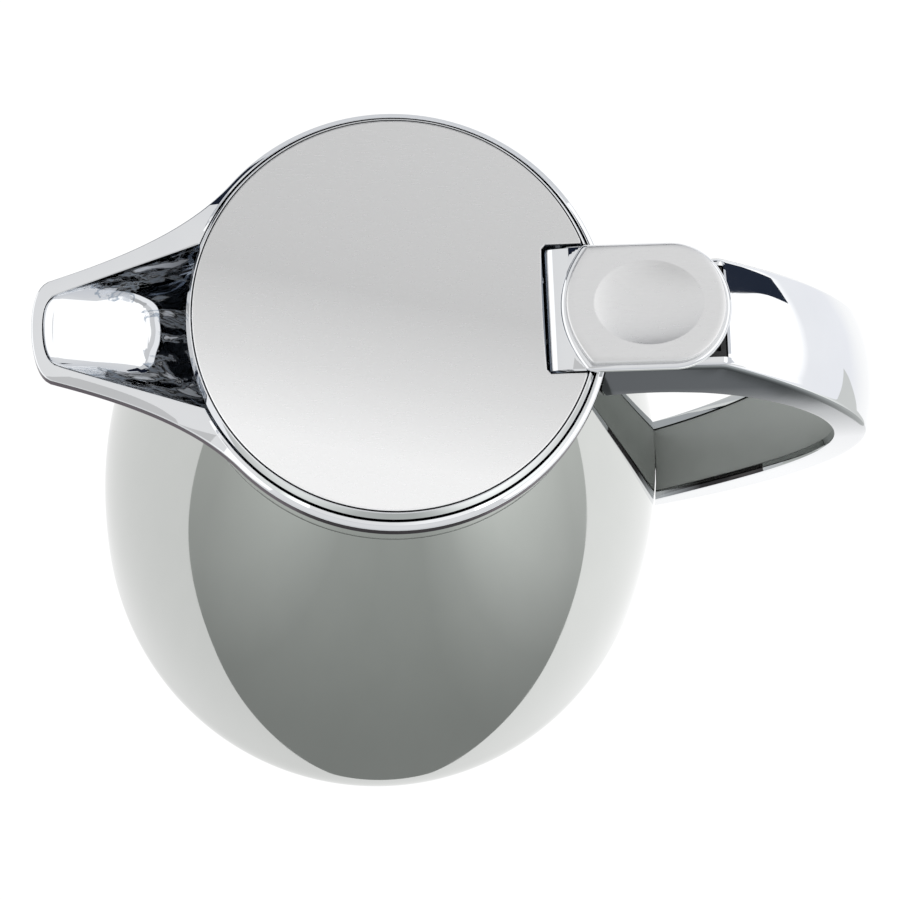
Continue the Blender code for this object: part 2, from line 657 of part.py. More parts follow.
def handle_loft(name, section, finish):
    """Sweeps a section down the handle. section(half, depth, share) gives (sideways, depth) points."""
    outer, inner = handle_outer(), handle_inner()
    lengths = np.concatenate([[0.0], np.cumsum(np.linalg.norm(np.diff(outer, axis=0), axis=1))])
    rings = []
    for k, (out, ins) in enumerate(zip(outer, inner)):
        share = lengths[k] / lengths[-1]
        depth = float(np.linalg.norm(ins - out))
        inward = (ins - out) / depth
        ring = []
        for side, below in section(handle_half(share), depth, share):
            spot = out + inward * below
            ring.append((spot[0], side, spot[1]))
        rings.append(ring)
    return finish_mesh(name, rings_to_mesh(rings, False), finish)


def strap_section(half, depth, share):
    """A channel: crowned outside, rounded shoulders, upright sides and an open inner face."""
    crown = 0.4 + (STRAP_CROWN - 0.4) * ease(0.2, 0.4, share)
    wall = STRAP_WALL
    right = [
        (half - wall, depth),
        (half - 0.5, depth),
        (half, depth - 0.6),
        (half, 2.4),
        (half - 0.35, 1.1),
        (half - 1.3, 0.2),
        (0.7 * half, -0.45 * crown),
        (0.36 * half, -0.87 * crown),
    ]
    left = [(-side, below) for side, below in right[::-1]]
    return right + [(0.0, -crown)] + left + [(-(half - wall), wall), (half - wall, wall)]


def shell_section(half, depth, share):
    side = half - STRAP_WALL - GAP
    near, far = depth - 0.5, depth - 0.5 - SHELL_THICKNESS
    hollow = near + 0.25
    right = [(side, far), (side, near), (0.5 * side, hollow)]
    return right + [(-across, depth_here) for across, depth_here in right[::-1]]


def core_section(half, depth, share):
    side = half - STRAP_WALL - GAP
    low = depth - 0.5 - SHELL_THICKNESS - GAP
    high = STRAP_WALL + GAP
    return [(side, high), (side, low), (-side, low), (-side, high)]


def jug_space(name):
    """A turned cutter as wide as the jug plus a gap, so that the handle stops just clear of it."""
    clear = GAP + 0.05
    heights = np.linspace(LID_TOP + 20.0, 20.0, 60)
    profile = [(0, heights[0])]
    for z in heights:
        least = COLLAR_RADIUS + clear if z > HANDLE_ROOT_HEIGHT - 20 else 0
        profile.append((max(least, body_radius(z) + clear), z))
    profile.append((0, heights[-1]))
    return turned(name, profile, sides=96)


def pocket_space(name, low, side, end):
    return block(name, (COLLAR_RADIUS - 12.0, -side, low), (end, side, LID_TOP + 8.0))


def make_handle_strap(finish):
    strap = handle_loft("handle_strap", strap_section, finish)
    combine(strap, jug_space("strap_jug_space"), "DIFFERENCE")
    pocket = pocket_space("strap_pocket", POCKET_FLOOR, RAIL_HALF - STRAP_WALL, STRAP_START)
    combine(strap, pocket, "DIFFERENCE")
    return strap


def make_inner_shell(finish):
    shell = handle_loft("handle_inner_shell", shell_section, finish)
    combine(shell, jug_space("shell_jug_space"), "DIFFERENCE")
    return shell


def make_handle_core(finish):
    core = handle_loft("handle_core", core_section, finish)
    combine(core, jug_space("core_jug_space"), "DIFFERENCE")
    pocket = pocket_space("core_pocket", POCKET_FLOOR - GAP, RAIL_HALF, STRAP_START - 0.2)
    combine(core, pocket, "DIFFERENCE")
    head = NECK_SCREW_SEAT
    for side in (-1, 1):
        y = side * NECK_SCREW_SPREAD
        combine(core, neck_screw_hole("core_neck_hole", side, SCREW_RADIUS + GAP), "DIFFERENCE")
        recess = rod("core_screw_recess", (head - GAP, y, NECK_SCREW_Z), (head + 14.0, y, NECK_SCREW_Z),
                     SCREW_HEAD_RADIUS + GAP + 0.1)
        combine(core, recess, "DIFFERENCE")
    hole = rod("core_foot_hole", foot_screw_spot(-6.0), foot_screw_spot(FOOT_SCREW_TIP + GAP),
               FOOT_SCREW_RADIUS + GAP, sides=12)
    combine(core, hole, "DIFFERENCE")
    return core


def make_pocket_liner(finish):
    """A black tray between the rails, under the lever."""
    side = RAIL_HALF - STRAP_WALL - GAP
    top = STRAP_TOP - 0.7
    end = STRAP_START - GAP - 0.1
    liner = block("pocket_liner", (COLLAR_RADIUS - 4.0, -side, POCKET_FLOOR), (end, side, top), finish)
    low_corner = (COLLAR_RADIUS - 8.0, LINER_WALL - side, POCKET_FLOOR + LINER_FLOOR)
    high_corner = (end - LINER_WALL, side - LINER_WALL, top + 4.0)
    hollow = block("liner_hollow", low_corner, high_corner)
    combine(liner, hollow, "DIFFERENCE")
    combine(liner, jug_space("liner_jug_space"), "DIFFERENCE")
    return liner


def neck_screw_hole(name, side, radius):
    y = side * NECK_SCREW_SPREAD
    start = (FLASK_NECK_RADIUS + 8.0, y, NECK_SCREW_Z)
    return rod(name, start, (NECK_SCREW_SEAT + 2.0, y, NECK_SCREW_Z), radius, sides=12)


def foot_screw_spot(distance):
    """A point on the foot screw's axis, which runs up the handle from inside the jacket."""
    middle = HANDLE_FOOT_OUTER + 0.5 * (HANDLE_FOOT_INNER - HANDLE_FOOT_OUTER) - 0.3
    tilt = math.radians(FOOT_SCREW_TILT)
    start = body_radius(middle)
    return (start + distance * math.cos(tilt), 0.0, middle + distance * math.sin(tilt))


def make_neck_screw(name, side, finish):
    """A screw from the handle through the jacket's neck into the collar."""
    head = NECK_SCREW_SEAT
    tip = COLLAR_RADIUS - 7.5
    outline = [(0, tip), (SCREW_RADIUS * 0.6, tip), (SCREW_RADIUS, tip + 1.2), (SCREW_RADIUS, head),
               (SCREW_HEAD_RADIUS, head), (SCREW_HEAD_RADIUS, head + 1.6), (0, head + 2.0)]
    bm = bmesh.new()
    add_turned(bm, outline, (0.0, side * NECK_SCREW_SPREAD, NECK_SCREW_Z), 0.0)
    return finish_mesh(name, bm, finish)


def make_foot_screw(finish):
    outline = [(0, -8.5), (FOOT_SCREW_HEAD * 0.8, -8.5), (FOOT_SCREW_HEAD, -7.8), (FOOT_SCREW_HEAD, -6.2),
               (FOOT_SCREW_RADIUS, -6.2), (FOOT_SCREW_RADIUS, FOOT_SCREW_TIP - 1.5), (0, FOOT_SCREW_TIP)]
    bm = bmesh.new()
    add_turned(bm, outline, foot_screw_spot(0.0), FOOT_SCREW_TILT)
    return finish_mesh("handle_foot_screw", bm, finish)


def add_turned(bm, outline, origin, tilt_deg, sides=12):
    """Adds a solid turned round a line in the X-Z plane, from (radius, distance along it) points."""
    tilt = math.radians(tilt_deg)
    along = np.array([math.cos(tilt), 0.0, math.sin(tilt)])
    upright = np.array([-math.sin(tilt), 0.0, math.cos(tilt)])
    sideways = np.array([0.0, 1.0, 0.0])
    turns = [2.0 * math.pi * k / sides for k in range(sides)]
    rings = []
    for radius, distance in outline:
        middle = np.array(origin) + distance * along
        if radius < 1e-6:
            rings.append([bm.verts.new(middle)] * sides)
            continue
        spokes = [math.cos(a) * sideways + math.sin(a) * upright for a in turns]
        rings.append([bm.verts.new(middle + radius * spoke) for spoke in spokes])
    for here, there in zip(rings, rings[1:]):
        for k in range(sides):
            after = (k + 1) % sides
            corners = list(dict.fromkeys((here[k], here[after], there[after], there[k])))
            if len(corners) > 2:
                bm.faces.new(corners)


# ---------------------------------------------------------------- lid

def make_stopper_gasket(finish):
    inner = STOPPER_RADIUS + GAP
    low, high = FLOOR_TOP + GAP, FLOOR_TOP + GAP + GASKET_THICKNESS
    middle = 0.5 * (low + high)
    outer = DRUM_RADIUS - 0.4
    profile = [(inner, high), (outer - 0.5, high), (outer, middle), (outer - 0.5, low), (inner, low)]
    return turned("stopper_gasket", profile, finish, sides=32)


def make_lid_body(finish):
    """The stopper: a plug in the neck, a wider drum with windows and the plate that carries the disc."""
    plug_in = STOPPER_RADIUS - STOPPER_WALL
    drum_in = DRUM_RADIUS - DRUM_WALL
    plate = DISC_RADIUS
    profile = [
        (HEAD_RADIUS + 2.0, PLATE_TOP),
        (plate, PLATE_TOP),
        (plate, PLATE_UNDER),
        (DRUM_RADIUS, PLATE_UNDER),
        (DRUM_RADIUS, SHOULDER_UNDER),
        (STOPPER_RADIUS, SHOULDER_UNDER),
        (STOPPER_RADIUS, STOPPER_BOTTOM + 1.0),
        (STOPPER_RADIUS - 1.0, STOPPER_BOTTOM),
        (VALVE_SEAT_RADIUS, STOPPER_BOTTOM),
        (VALVE_SEAT_RADIUS, SEAT_TOP),
        (plug_in, SEAT_TOP),
        (plug_in, LEDGE),
        (drum_in, LEDGE),
        (drum_in, PLATE_UNDER - 0.01),
        (HEAD_RADIUS + 2.0, PLATE_UNDER - 0.01),
    ]
    lid = turned("lid_body", profile, finish)
    for side in (-1, 1):
        low, high = sorted((side * CUTOUT_HALF, side * (CUTOUT_HALF + LUG_THICKNESS)))
        lug = block("pin_lug", (PIVOT_X - 3.4, low, PIVOT_Z - 3.6), (PIVOT_X + 3.4, high, PLATE_TOP - 0.5))
        combine(lid, lug, "UNION")
    cut = block("lever_cutout", (CUTOUT_START, -CUTOUT_HALF, PIVOT_Z - 9.0),
                (DISC_RADIUS + 4.0, CUTOUT_HALF, LID_TOP + 3))
    combine(lid, cut, "DIFFERENCE")
    slot = block("arm_slot", (PLUG_RADIUS + 3.0, -ARM_HALF - 0.8, LEDGE + GAP + 0.2),
                 (CUTOUT_START + 2.0, ARM_HALF + 0.8, PLATE_UNDER + 0.8))
    combine(lid, slot, "DIFFERENCE")
    for angle in WINDOW_ANGLES:
        combine(lid, window("pouring_window", angle), "DIFFERENCE")
    past = CUTOUT_HALF + 8.0
    hole = rod("pin_hole", (PIVOT_X, -past, PIVOT_Z), (PIVOT_X, past, PIVOT_Z), PIN_RADIUS + GAP)
    combine(lid, hole, "DIFFERENCE")
    return lid


def window(name, angle):
    """A block that points outwards at an angle and passes through the drum's wall."""
    turn = math.radians(angle)
    out = np.array([math.cos(turn), math.sin(turn)])
    across = np.array([-out[1], out[0]])
    near = (DRUM_RADIUS - DRUM_WALL - 5.0) * out
    far = (DRUM_RADIUS + 3.0) * out
    half = 0.5 * WINDOW_WIDTH * across
    plan = [near - half, far - half, far + half, near + half]
    return plan_prism(name, plan, LEDGE + 1.0, PLATE_UNDER - 1.5)


def rim_cutout(name):
    """The gap that the lever's neck passes through at the edge of the lid."""
    low = (CUTOUT_START, -CUTOUT_HALF, LID_TOP - 12.0)
    return block(name, low, (DISC_RADIUS + 4.0, CUTOUT_HALF, LID_TOP + 3.0))


def make_lid_disc(finish):
    bevel = 0.25
    profile = [(0, LID_TOP), (DISC_RADIUS - bevel, LID_TOP), (DISC_RADIUS, LID_TOP - bevel),
               (DISC_RADIUS, LID_TOP - DISC_THICKNESS), (0, LID_TOP - DISC_THICKNESS)]
    disc = turned("lid_disc", profile, finish, sides=48)
    cut = rim_cutout("disc_cutout")
    combine(disc, cut, "DIFFERENCE")
    return disc


def make_lid_bezel(finish):
    inner = DISC_RADIUS + GAP
    low = LID_TOP - BEZEL_DROP
    profile = [(inner, LID_TOP - 0.5), (inner + 0.3, LID_TOP - 0.5), (BEZEL_RADIUS - 0.2, LID_TOP - 1.8),
               (BEZEL_RADIUS, LID_TOP - 2.1), (BEZEL_RADIUS, low), (inner, low)]
    bezel = turned("lid_bezel", profile, finish, sides=48)
    cut = rim_cutout("bezel_cutout")
    combine(bezel, cut, "DIFFERENCE")
    return bezel


def make_lever_pin(finish):
    end = CUTOUT_HALF + LUG_THICKNESS - GAP
    return rod("lever_pin", (PIVOT_X, -end, PIVOT_Z), (PIVOT_X, end, PIVOT_Z), PIN_RADIUS, finish, sides=16)


def lever_outline(start, end, half, far_bulge):
    """Plan outline with straight sides along X, a shallow arc at the lid's end and a rounder far end."""
    points = []
    for k in range(9):
        a = math.radians(-90.0 + 22.5 * k)
        points.append((end - far_bulge + far_bulge * math.cos(a), half * math.sin(a)))
    for share in (1.0, 0.5, 0.0, -0.5, -1.0):
        points.append((start + LEVER_NEAR_BULGE * share ** 2, half * share))
    return points


def make_lever_frame(finish):
    """The chrome lever: a frame under the thumb pad, a neck through the lid, a boss and the lifting arm."""
    low = FRAME_TOP - FRAME_THICKNESS
    outline = lever_outline(FRAME_START, FRAME_END, FRAME_HALF, PAD_FAR_BULGE + 1.5)
    frame = plan_prism("lever_frame", outline, low, FRAME_TOP, finish)
    bevel = frame.modifiers.new("edge", "BEVEL")
    bevel.width = 0.6 * MM
    bevel.segments = 2
    bevel.limit_method = "ANGLE"
    bevel.angle_limit = math.radians(60)
    side_view = []
    for k in range(10):
        a = math.radians(180.0 + 20.0 * k)
        side_view.append((PIVOT_X + BOSS_RADIUS * math.cos(a), PIVOT_Z + BOSS_RADIUS * math.sin(a)))
    side_view += [(PIVOT_X + BOSS_RADIUS + 2.0, low + 0.4), (PIVOT_X + 6.0, FRAME_TOP - 0.6),
                  (FRAME_START + 1.0, FRAME_TOP - 0.6), (PIVOT_X - 2.6, low + 0.6)]
    neck = side_prism("lever_neck", side_view, LEVER_HALF)
    combine(frame, neck, "UNION")
    tip = -HEAD_RADIUS + 0.5
    arm = side_prism("lever_arm", [
        (tip, ARM_UNDER), (12.0, ARM_UNDER), (PIVOT_X - 1.0, PIVOT_Z - 2.6), (PIVOT_X - 1.0, PIVOT_Z + 0.6),
        (PIVOT_X - 5.0, PIVOT_Z - 0.6), (12.0, ARM_TOP), (tip, ARM_TOP)], ARM_HALF)
    combine(frame, arm, "UNION")
    slot = STEM_RADIUS + 0.5
    fork = block("fork_slot", (tip - 4.0, -slot, ARM_UNDER - 3.0), (slot + 0.7, slot, ARM_TOP + 3.0))
    combine(frame, fork, "DIFFERENCE")
    past = LEVER_HALF + 4.0
    bore = rod("lever_bore", (PIVOT_X, -past, PIVOT_Z), (PIVOT_X, past, PIVOT_Z), PIN_RADIUS + 0.25, sides=16)
    combine(frame, bore, "DIFFERENCE")
    return frame


def make_thumb_pad(finish):
    """The satin pad, with an oval dimple in its upper face."""
    top = PAD_UNDER + PAD_THICKNESS
    outline = lever_outline(PAD_START, PAD_START + PAD_LENGTH, PAD_HALF, PAD_FAR_BULGE)
    centre = (PAD_START + 0.5 * PAD_LENGTH + 1.5, 0.0)
    rings = [[(x, y, PAD_UNDER) for x, y in outline], [(x, y, top - 0.5) for x, y in outline]]
    for share, sink in ((0.975, 0.0), (0.72, 0.0), (0.58, 0.4), (0.4, 0.8), (0.2, 1.0)):
        ring = []
        for x, y in outline:
            ring.append((centre[0] + (x - centre[0]) * share, y * share, top - DIMPLE_DEPTH * sink))
        rings.append(ring)
    return finish_mesh("thumb_pad", rings_to_mesh(rings, False), finish)


# ---------------------------------------------------------------- valve

def make_spring_retainer(finish):
    outer = DRUM_RADIUS - DRUM_WALL - GAP
    hole = STEM_RADIUS + 0.4
    profile = [(hole, RETAINER_TOP), (outer, RETAINER_TOP), (outer, RETAINER_UNDER), (hole, RETAINER_UNDER)]
    plate = turned("spring_retainer", profile, finish, sides=32)
    for k in range(4):
        a = math.radians(45.0 + 90.0 * k)
        spot = (14.5 * math.cos(a), 14.5 * math.sin(a))
        hole = rod("flow_hole", (*spot, RETAINER_UNDER - 3), (*spot, RETAINER_TOP + 3), 5.5, sides=16)
        combine(plate, hole, "DIFFERENCE")
    return plate


def make_valve_stem(finish):
    bottom = PLUG_UNDER + 1.0
    return rod("valve_stem", (0, 0, bottom + GAP), (0, 0, HEAD_TOP - 0.2), STEM_RADIUS, finish, sides=16)


def make_valve_plug(finish):
    socket = STEM_RADIUS + GAP
    floor = PLUG_UNDER + 1.0
    profile = [(0, floor), (socket, floor), (socket, PLUG_TOP), (PLUG_RADIUS - 1.0, PLUG_TOP),
               (PLUG_RADIUS, PLUG_TOP - 1.0), (PLUG_RADIUS, PLUG_UNDER), (0, PLUG_UNDER)]
    return turned("valve_plug", profile[::-1], finish, sides=24)


def make_valve_seal(finish):
    profile = [(3.0, SEAL_UNDER + SEAL_THICKNESS), (PLUG_RADIUS - 0.3, SEAL_UNDER + SEAL_THICKNESS),
               (PLUG_RADIUS - 0.3, SEAL_UNDER), (3.0, SEAL_UNDER)]
    return turned("valve_seal", profile, finish, sides=24)


def make_lift_head(finish):
    socket = STEM_RADIUS + GAP
    profile = [(socket, HEAD_TOP), (HEAD_RADIUS - 0.6, HEAD_TOP), (HEAD_RADIUS, HEAD_TOP - 0.6),
               (HEAD_RADIUS, HEAD_UNDER), (socket, HEAD_UNDER)]
    return turned("lift_head", profile, finish, sides=20)


def make_valve_spring(finish):
    low = PLUG_TOP + GAP + 0.5 * SPRING_WIRE
    high = RETAINER_UNDER - GAP - 0.5 * SPRING_WIRE
    around = 10
    sides = 5
    steps = SPRING_TURNS * around
    up = np.array([0.0, 0.0, 1.0])
    rings = []
    for k in range(steps + 1):
        turn = 2.0 * math.pi * k / around
        out = np.array([math.cos(turn), math.sin(turn), 0.0])
        middle = SPRING_RADIUS * out + (low + (high - low) * k / steps) * up
        ring = []
        for j in range(sides):
            a = 2.0 * math.pi * j / sides
            ring.append(middle + 0.5 * SPRING_WIRE * (math.cos(a) * out + math.sin(a) * up))
        rings.append(ring)
    return finish_mesh("valve_spring", rings_to_mesh(rings, False), finish)


# ---------------------------------------------------------------- assembly

def build():
    clear_scene()
    steel = material("polished_steel", (0.80, 0.81, 0.79), 0.08, 1.0)
    chrome = material("chrome", (0.86, 0.87, 0.89), 0.05, 1.0)
    satin = material("satin_steel", (0.75, 0.75, 0.76), 0.35, 1.0)
    spring_steel = material("spring_steel", (0.62, 0.62, 0.64), 0.3, 1.0)
    black = material("black_plastic", (0.02, 0.02, 0.022), 0.5, 0.0)
    grey = material("grey_plastic", (0.22, 0.23, 0.24), 0.45, 0.0)
    rubber = material("silicone", (0.10, 0.10, 0.11), 0.7, 0.0)
    glass = material("silvered_glass", (0.80, 0.82, 0.83), 0.05, 0.0)

    make_foot_pad(rubber)
    make_base_cap(black)
    make_flask_support(rubber)
    make_jacket(steel)
    make_flask(glass)
    make_neck_gasket(rubber)
    make_collar(chrome)
    make_handle_strap(chrome)
    make_inner_shell(steel)
    make_handle_core(black)
    make_pocket_liner(black)
    make_neck_screw("handle_neck_screw_front", -1, spring_steel)
    make_neck_screw("handle_neck_screw_back", 1, spring_steel)
    make_foot_screw(spring_steel)

    make_stopper_gasket(rubber)
    make_lid_body(grey)
    make_lid_disc(satin)
    make_lid_bezel(chrome)
    make_spring_retainer(grey)
    make_valve_spring(spring_steel)

    make_valve_stem(spring_steel)
    make_valve_plug(grey)
    make_valve_seal(rubber)
    make_lift_head(grey)

    make_lever_pin(spring_steel)
    pivot = bpy.data.objects.new("lever_pivot", None)
    pivot.location = (PIVOT_X * MM, 0.0, PIVOT_Z * MM)
    bpy.context.scene.collection.objects.link(pivot)
    bpy.context.view_layer.update()
    for piece in (make_lever_frame(chrome), make_thumb_pad(satin)):
        piece.parent = pivot
        piece.matrix_parent_inverse = pivot.matrix_world.inverted()


build()
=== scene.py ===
# %% [markdown]
# # A vacuum coffee jug in polished steel and chrome
# The jug is a drop-shaped steel jacket round a glass flask, a chrome collar drawn out into a spout, a
# screw-in lid with a thumb lever, and a strap handle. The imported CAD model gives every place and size. This
# file gives each piece its fine surface, its finish, and the white table that a polished thing needs to
# look polished. Lengths are in millimetres until a mesh is finished, and angles are in degrees.

# %% Load the fixed frame
import math

import bmesh
import bpy
import numpy as np
from mathutils import Matrix, Vector


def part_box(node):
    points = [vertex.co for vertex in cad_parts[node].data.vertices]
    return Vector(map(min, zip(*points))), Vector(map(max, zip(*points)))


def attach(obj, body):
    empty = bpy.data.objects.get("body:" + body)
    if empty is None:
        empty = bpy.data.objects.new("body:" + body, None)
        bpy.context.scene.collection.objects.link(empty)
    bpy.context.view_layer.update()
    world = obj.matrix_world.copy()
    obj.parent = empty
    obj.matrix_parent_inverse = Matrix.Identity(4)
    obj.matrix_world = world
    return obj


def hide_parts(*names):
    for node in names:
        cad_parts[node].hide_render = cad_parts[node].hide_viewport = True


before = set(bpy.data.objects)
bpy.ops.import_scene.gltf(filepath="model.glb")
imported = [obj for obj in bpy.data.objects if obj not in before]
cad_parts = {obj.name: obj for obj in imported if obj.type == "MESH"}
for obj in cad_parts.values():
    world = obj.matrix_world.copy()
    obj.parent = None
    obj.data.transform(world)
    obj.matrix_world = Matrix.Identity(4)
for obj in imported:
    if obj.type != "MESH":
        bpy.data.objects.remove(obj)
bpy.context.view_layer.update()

MM = 0.001


# %% [markdown]
# ## Reading sizes from the frame
# A fine piece has to sit exactly where its plain CAD solid sits. So the driving sizes are read from the
# boxes of the CAD nodes and are not typed in a second time: the lid's top, the widest radius, the spout's
# reach.

# %% Driving sizes
def node_box(node):
    low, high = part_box(node)
    return low / MM, high / MM


LID_TOP = node_box("lid_disc")[1].z
DISC_RADIUS = node_box("lid_disc")[1].y
BEZEL_RADIUS = node_box("lid_bezel")[1].y
BEZEL_LOW = node_box("lid_bezel")[0].z
COLLAR_RADIUS = node_box("collar_with_spout")[1].y
SPOUT_REACH = -node_box("collar_with_spout")[0].x
JACKET_LOW, JACKET_TOP = node_box("body_jacket")[0].z, node_box("body_jacket")[1].z
BELLY_RADIUS = node_box("body_jacket")[1].y
BASE_RADIUS = node_box("base_cap")[1].y
AIR = 0.3  # left between two pieces that touch on the real jug
LID_CLEARANCE = 0.35
COLLAR_INNER = BEZEL_RADIUS + LID_CLEARANCE
RIM_TOP = LID_TOP - 5.2
RIM_FOOT = RIM_TOP - 4.0
COVE_HEIGHT = RIM_FOOT - 2.8
NECK_RADIUS = COLLAR_RADIUS - 3.3
print(f"lid top {LID_TOP:.1f}, disc {DISC_RADIUS:.1f}, collar {COLLAR_RADIUS:.1f}, belly {BELLY_RADIUS:.1f}")


# %% [markdown]
# ## Tools for mesh work
# Nearly every piece here is a section carried round an axis or along a curve. One helper joins rows of
# points into a skin, one rounds the corners of an outline the way a polisher does, and one does the
# finishing steps. A sharp edge on a mirror-bright part gives a dead black line, and a rounded one catches a
# thin highlight.

# %% Joining rows of points
def skin(rows, wrap_rows, wrap_points=True, caps=False):
    """Faces between neighbouring rows of points. Points that fall together are merged."""
    bm = bmesh.new()
    made = [[bm.verts.new(point) for point in row] for row in rows]
    row_steps = len(made) if wrap_rows else len(made) - 1
    count = len(rows[0])
    point_steps = count if wrap_points else count - 1
    for i in range(row_steps):
        here, there = made[i], made[(i + 1) % len(made)]
        for k in range(point_steps):
            after = (k + 1) % count
            bm.faces.new((here[k], here[after], there[after], there[k]))
    if caps:
        bm.faces.new(made[0])
        bm.faces.new(made[-1])
    bmesh.ops.remove_doubles(bm, verts=bm.verts, dist=1e-5)
    bmesh.ops.recalc_face_normals(bm, faces=bm.faces)
    return bm


def soften(outline, radius, steps=5):
    """Rounds the corners of a closed outline. A third number in a point is its own radius."""
    corners = [np.array(p[:2], float) for p in outline]
    rounded = []
    for k, corner in enumerate(corners):
        back = corners[k - 1] - corner
        ahead = corners[(k + 1) % len(corners)] - corner
        wanted = outline[k][2] if len(outline[k]) > 2 else radius
        reach = min(wanted, 0.46 * np.linalg.norm(back), 0.46 * np.linalg.norm(ahead))
        start = corner + back / np.linalg.norm(back) * reach
        end = corner + ahead / np.linalg.norm(ahead) * reach
        for t in np.linspace(0.0, 1.0, steps):
            rounded.append((1 - t) ** 2 * start + 2 * (1 - t) * t * corner + t * t * end)
    return rounded


def on_curve(controls, t):
    """The point at t, from 0 to 1, on a curve with four control points."""
    a, b, c, d = (np.array(p, float) for p in controls)
    return (1 - t) ** 3 * a + 3 * (1 - t) ** 2 * t * b + 3 * (1 - t) * t * t * c + t ** 3 * d


def curve(controls, count):
    return np.array([on_curve(controls, t) for t in np.linspace(0.0, 1.0, count)])


def ease(low, high, value):
    """0 below low, 1 above high and smooth between."""
    t = min(max((value - low) / (high - low), 0.0), 1.0)
    return t * t * (3.0 - 2.0 * t)


print("skin, soften, curve and ease are ready")


# %% Turning, lofting and finishing
def as_object(name, bm):
    bmesh.ops.scale(bm, vec=(MM, MM, MM), verts=bm.verts)
    mesh = bpy.data.meshes.new(name)
    bm.to_mesh(mesh)
    bm.free()
    piece = bpy.data.objects.new(name, mesh)
    bpy.context.scene.collection.objects.link(piece)
    return piece


def turn(profile, sides=192, on_axis=False, arc=(0.0, 360.0)):
    """Turns a closed (radius, height) outline round the jug's axis, or round part of it."""
    whole = arc[1] - arc[0] >= 360.0
    angles = np.radians(np.linspace(arc[0], arc[1], sides + (0 if whole else 1), endpoint=not whole))
    rows = [[(r * math.cos(a), r * math.sin(a), z) for r, z in profile] for a in angles]
    return skin(rows, wrap_rows=whole, wrap_points=not on_axis, caps=not whole)


def complete(piece, finishes, body, nodes, crease=38.0):
    """Shading, finish, body and CAD node of a piece, in one place."""
    mesh = piece.data
    mesh.shade_smooth()
    mesh.set_sharp_from_angle(angle=math.radians(crease))
    mesh.materials.clear()
    for finish in finishes:
        mesh.materials.append(finish)
    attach(piece, body)
    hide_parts(*nodes)
    size = [round(side / MM, 1) for side in piece.dimensions]
    print(f"{piece.name}: {len(mesh.polygons)} faces, {size} mm, rides on {body}")
    return piece


def shape_by(piece, other, operation):
    """Cuts or adds one closed mesh with another and keeps the result as plain mesh."""
    change = piece.modifiers.new("shape", "BOOLEAN")
    change.operation = operation
    change.solver = "EXACT"
    change.object = other
    bpy.context.view_layer.update()
    graph = bpy.context.evaluated_depsgraph_get()
    mesh = bpy.data.meshes.new_from_object(piece.evaluated_get(graph))
    piece.modifiers.clear()
    piece.data = mesh
    bpy.data.objects.remove(other, do_unlink=True)
    return piece


def block(name, low, high):
    corners = [(low[0], low[1]), (high[0], low[1]), (high[0], high[1]), (low[0], high[1])]
    rows = [[(x, y, z) for x, y in corners] for z in (low[2], high[2])]
    return as_object(name, skin(rows, False, caps=True))


def side_slab(name, outline, half, round_edge=0.0):
    """An (x, z) outline with thickness along Y and rounded edges."""
    centre = np.mean(np.array([p[:2] for p in outline]), axis=0)
    layers = [(-half, round_edge), (-half + round_edge, 0.0), (half - round_edge, 0.0), (half, round_edge)]
    rows = []
    for depth, inset in layers:
        row = []
        for point in outline:
            away = np.array(point[:2]) - centre
            away = away * (1.0 - inset / max(np.linalg.norm(away), 1.0))
            row.append((centre[0] + away[0], depth, centre[1] + away[1]))
        rows.append(row)
    return as_object(name, skin(rows, False, caps=True))


print("turn, complete, shape_by, block and side_slab are ready")


# %% [markdown]
# ## Finishes
# Polished steel, chrome and satin steel are all metals in the same shader. What tells them apart is how
# wide the reflection is spread, its tint, and the marks of the wheel that finished them. Polished steel
# keeps faint polishing haze, chrome almost none, and satin steel has fine straight grain from a belt, so
# its roughness comes from a noise that is stretched along the grain.

# %% A finish with grain
def new_finish(name, colour, metallic, roughness, **sockets):
    finish = bpy.data.materials.new(name)
    finish.use_nodes = True
    shader = finish.node_tree.nodes["Principled BSDF"]
    shader.inputs["Base Color"].default_value = (*colour, 1.0)
    shader.inputs["Metallic"].default_value = metallic
    shader.inputs["Roughness"].default_value = roughness
    for socket, value in sockets.items():
        shader.inputs[socket.replace("_", " ")].default_value = value
    return finish


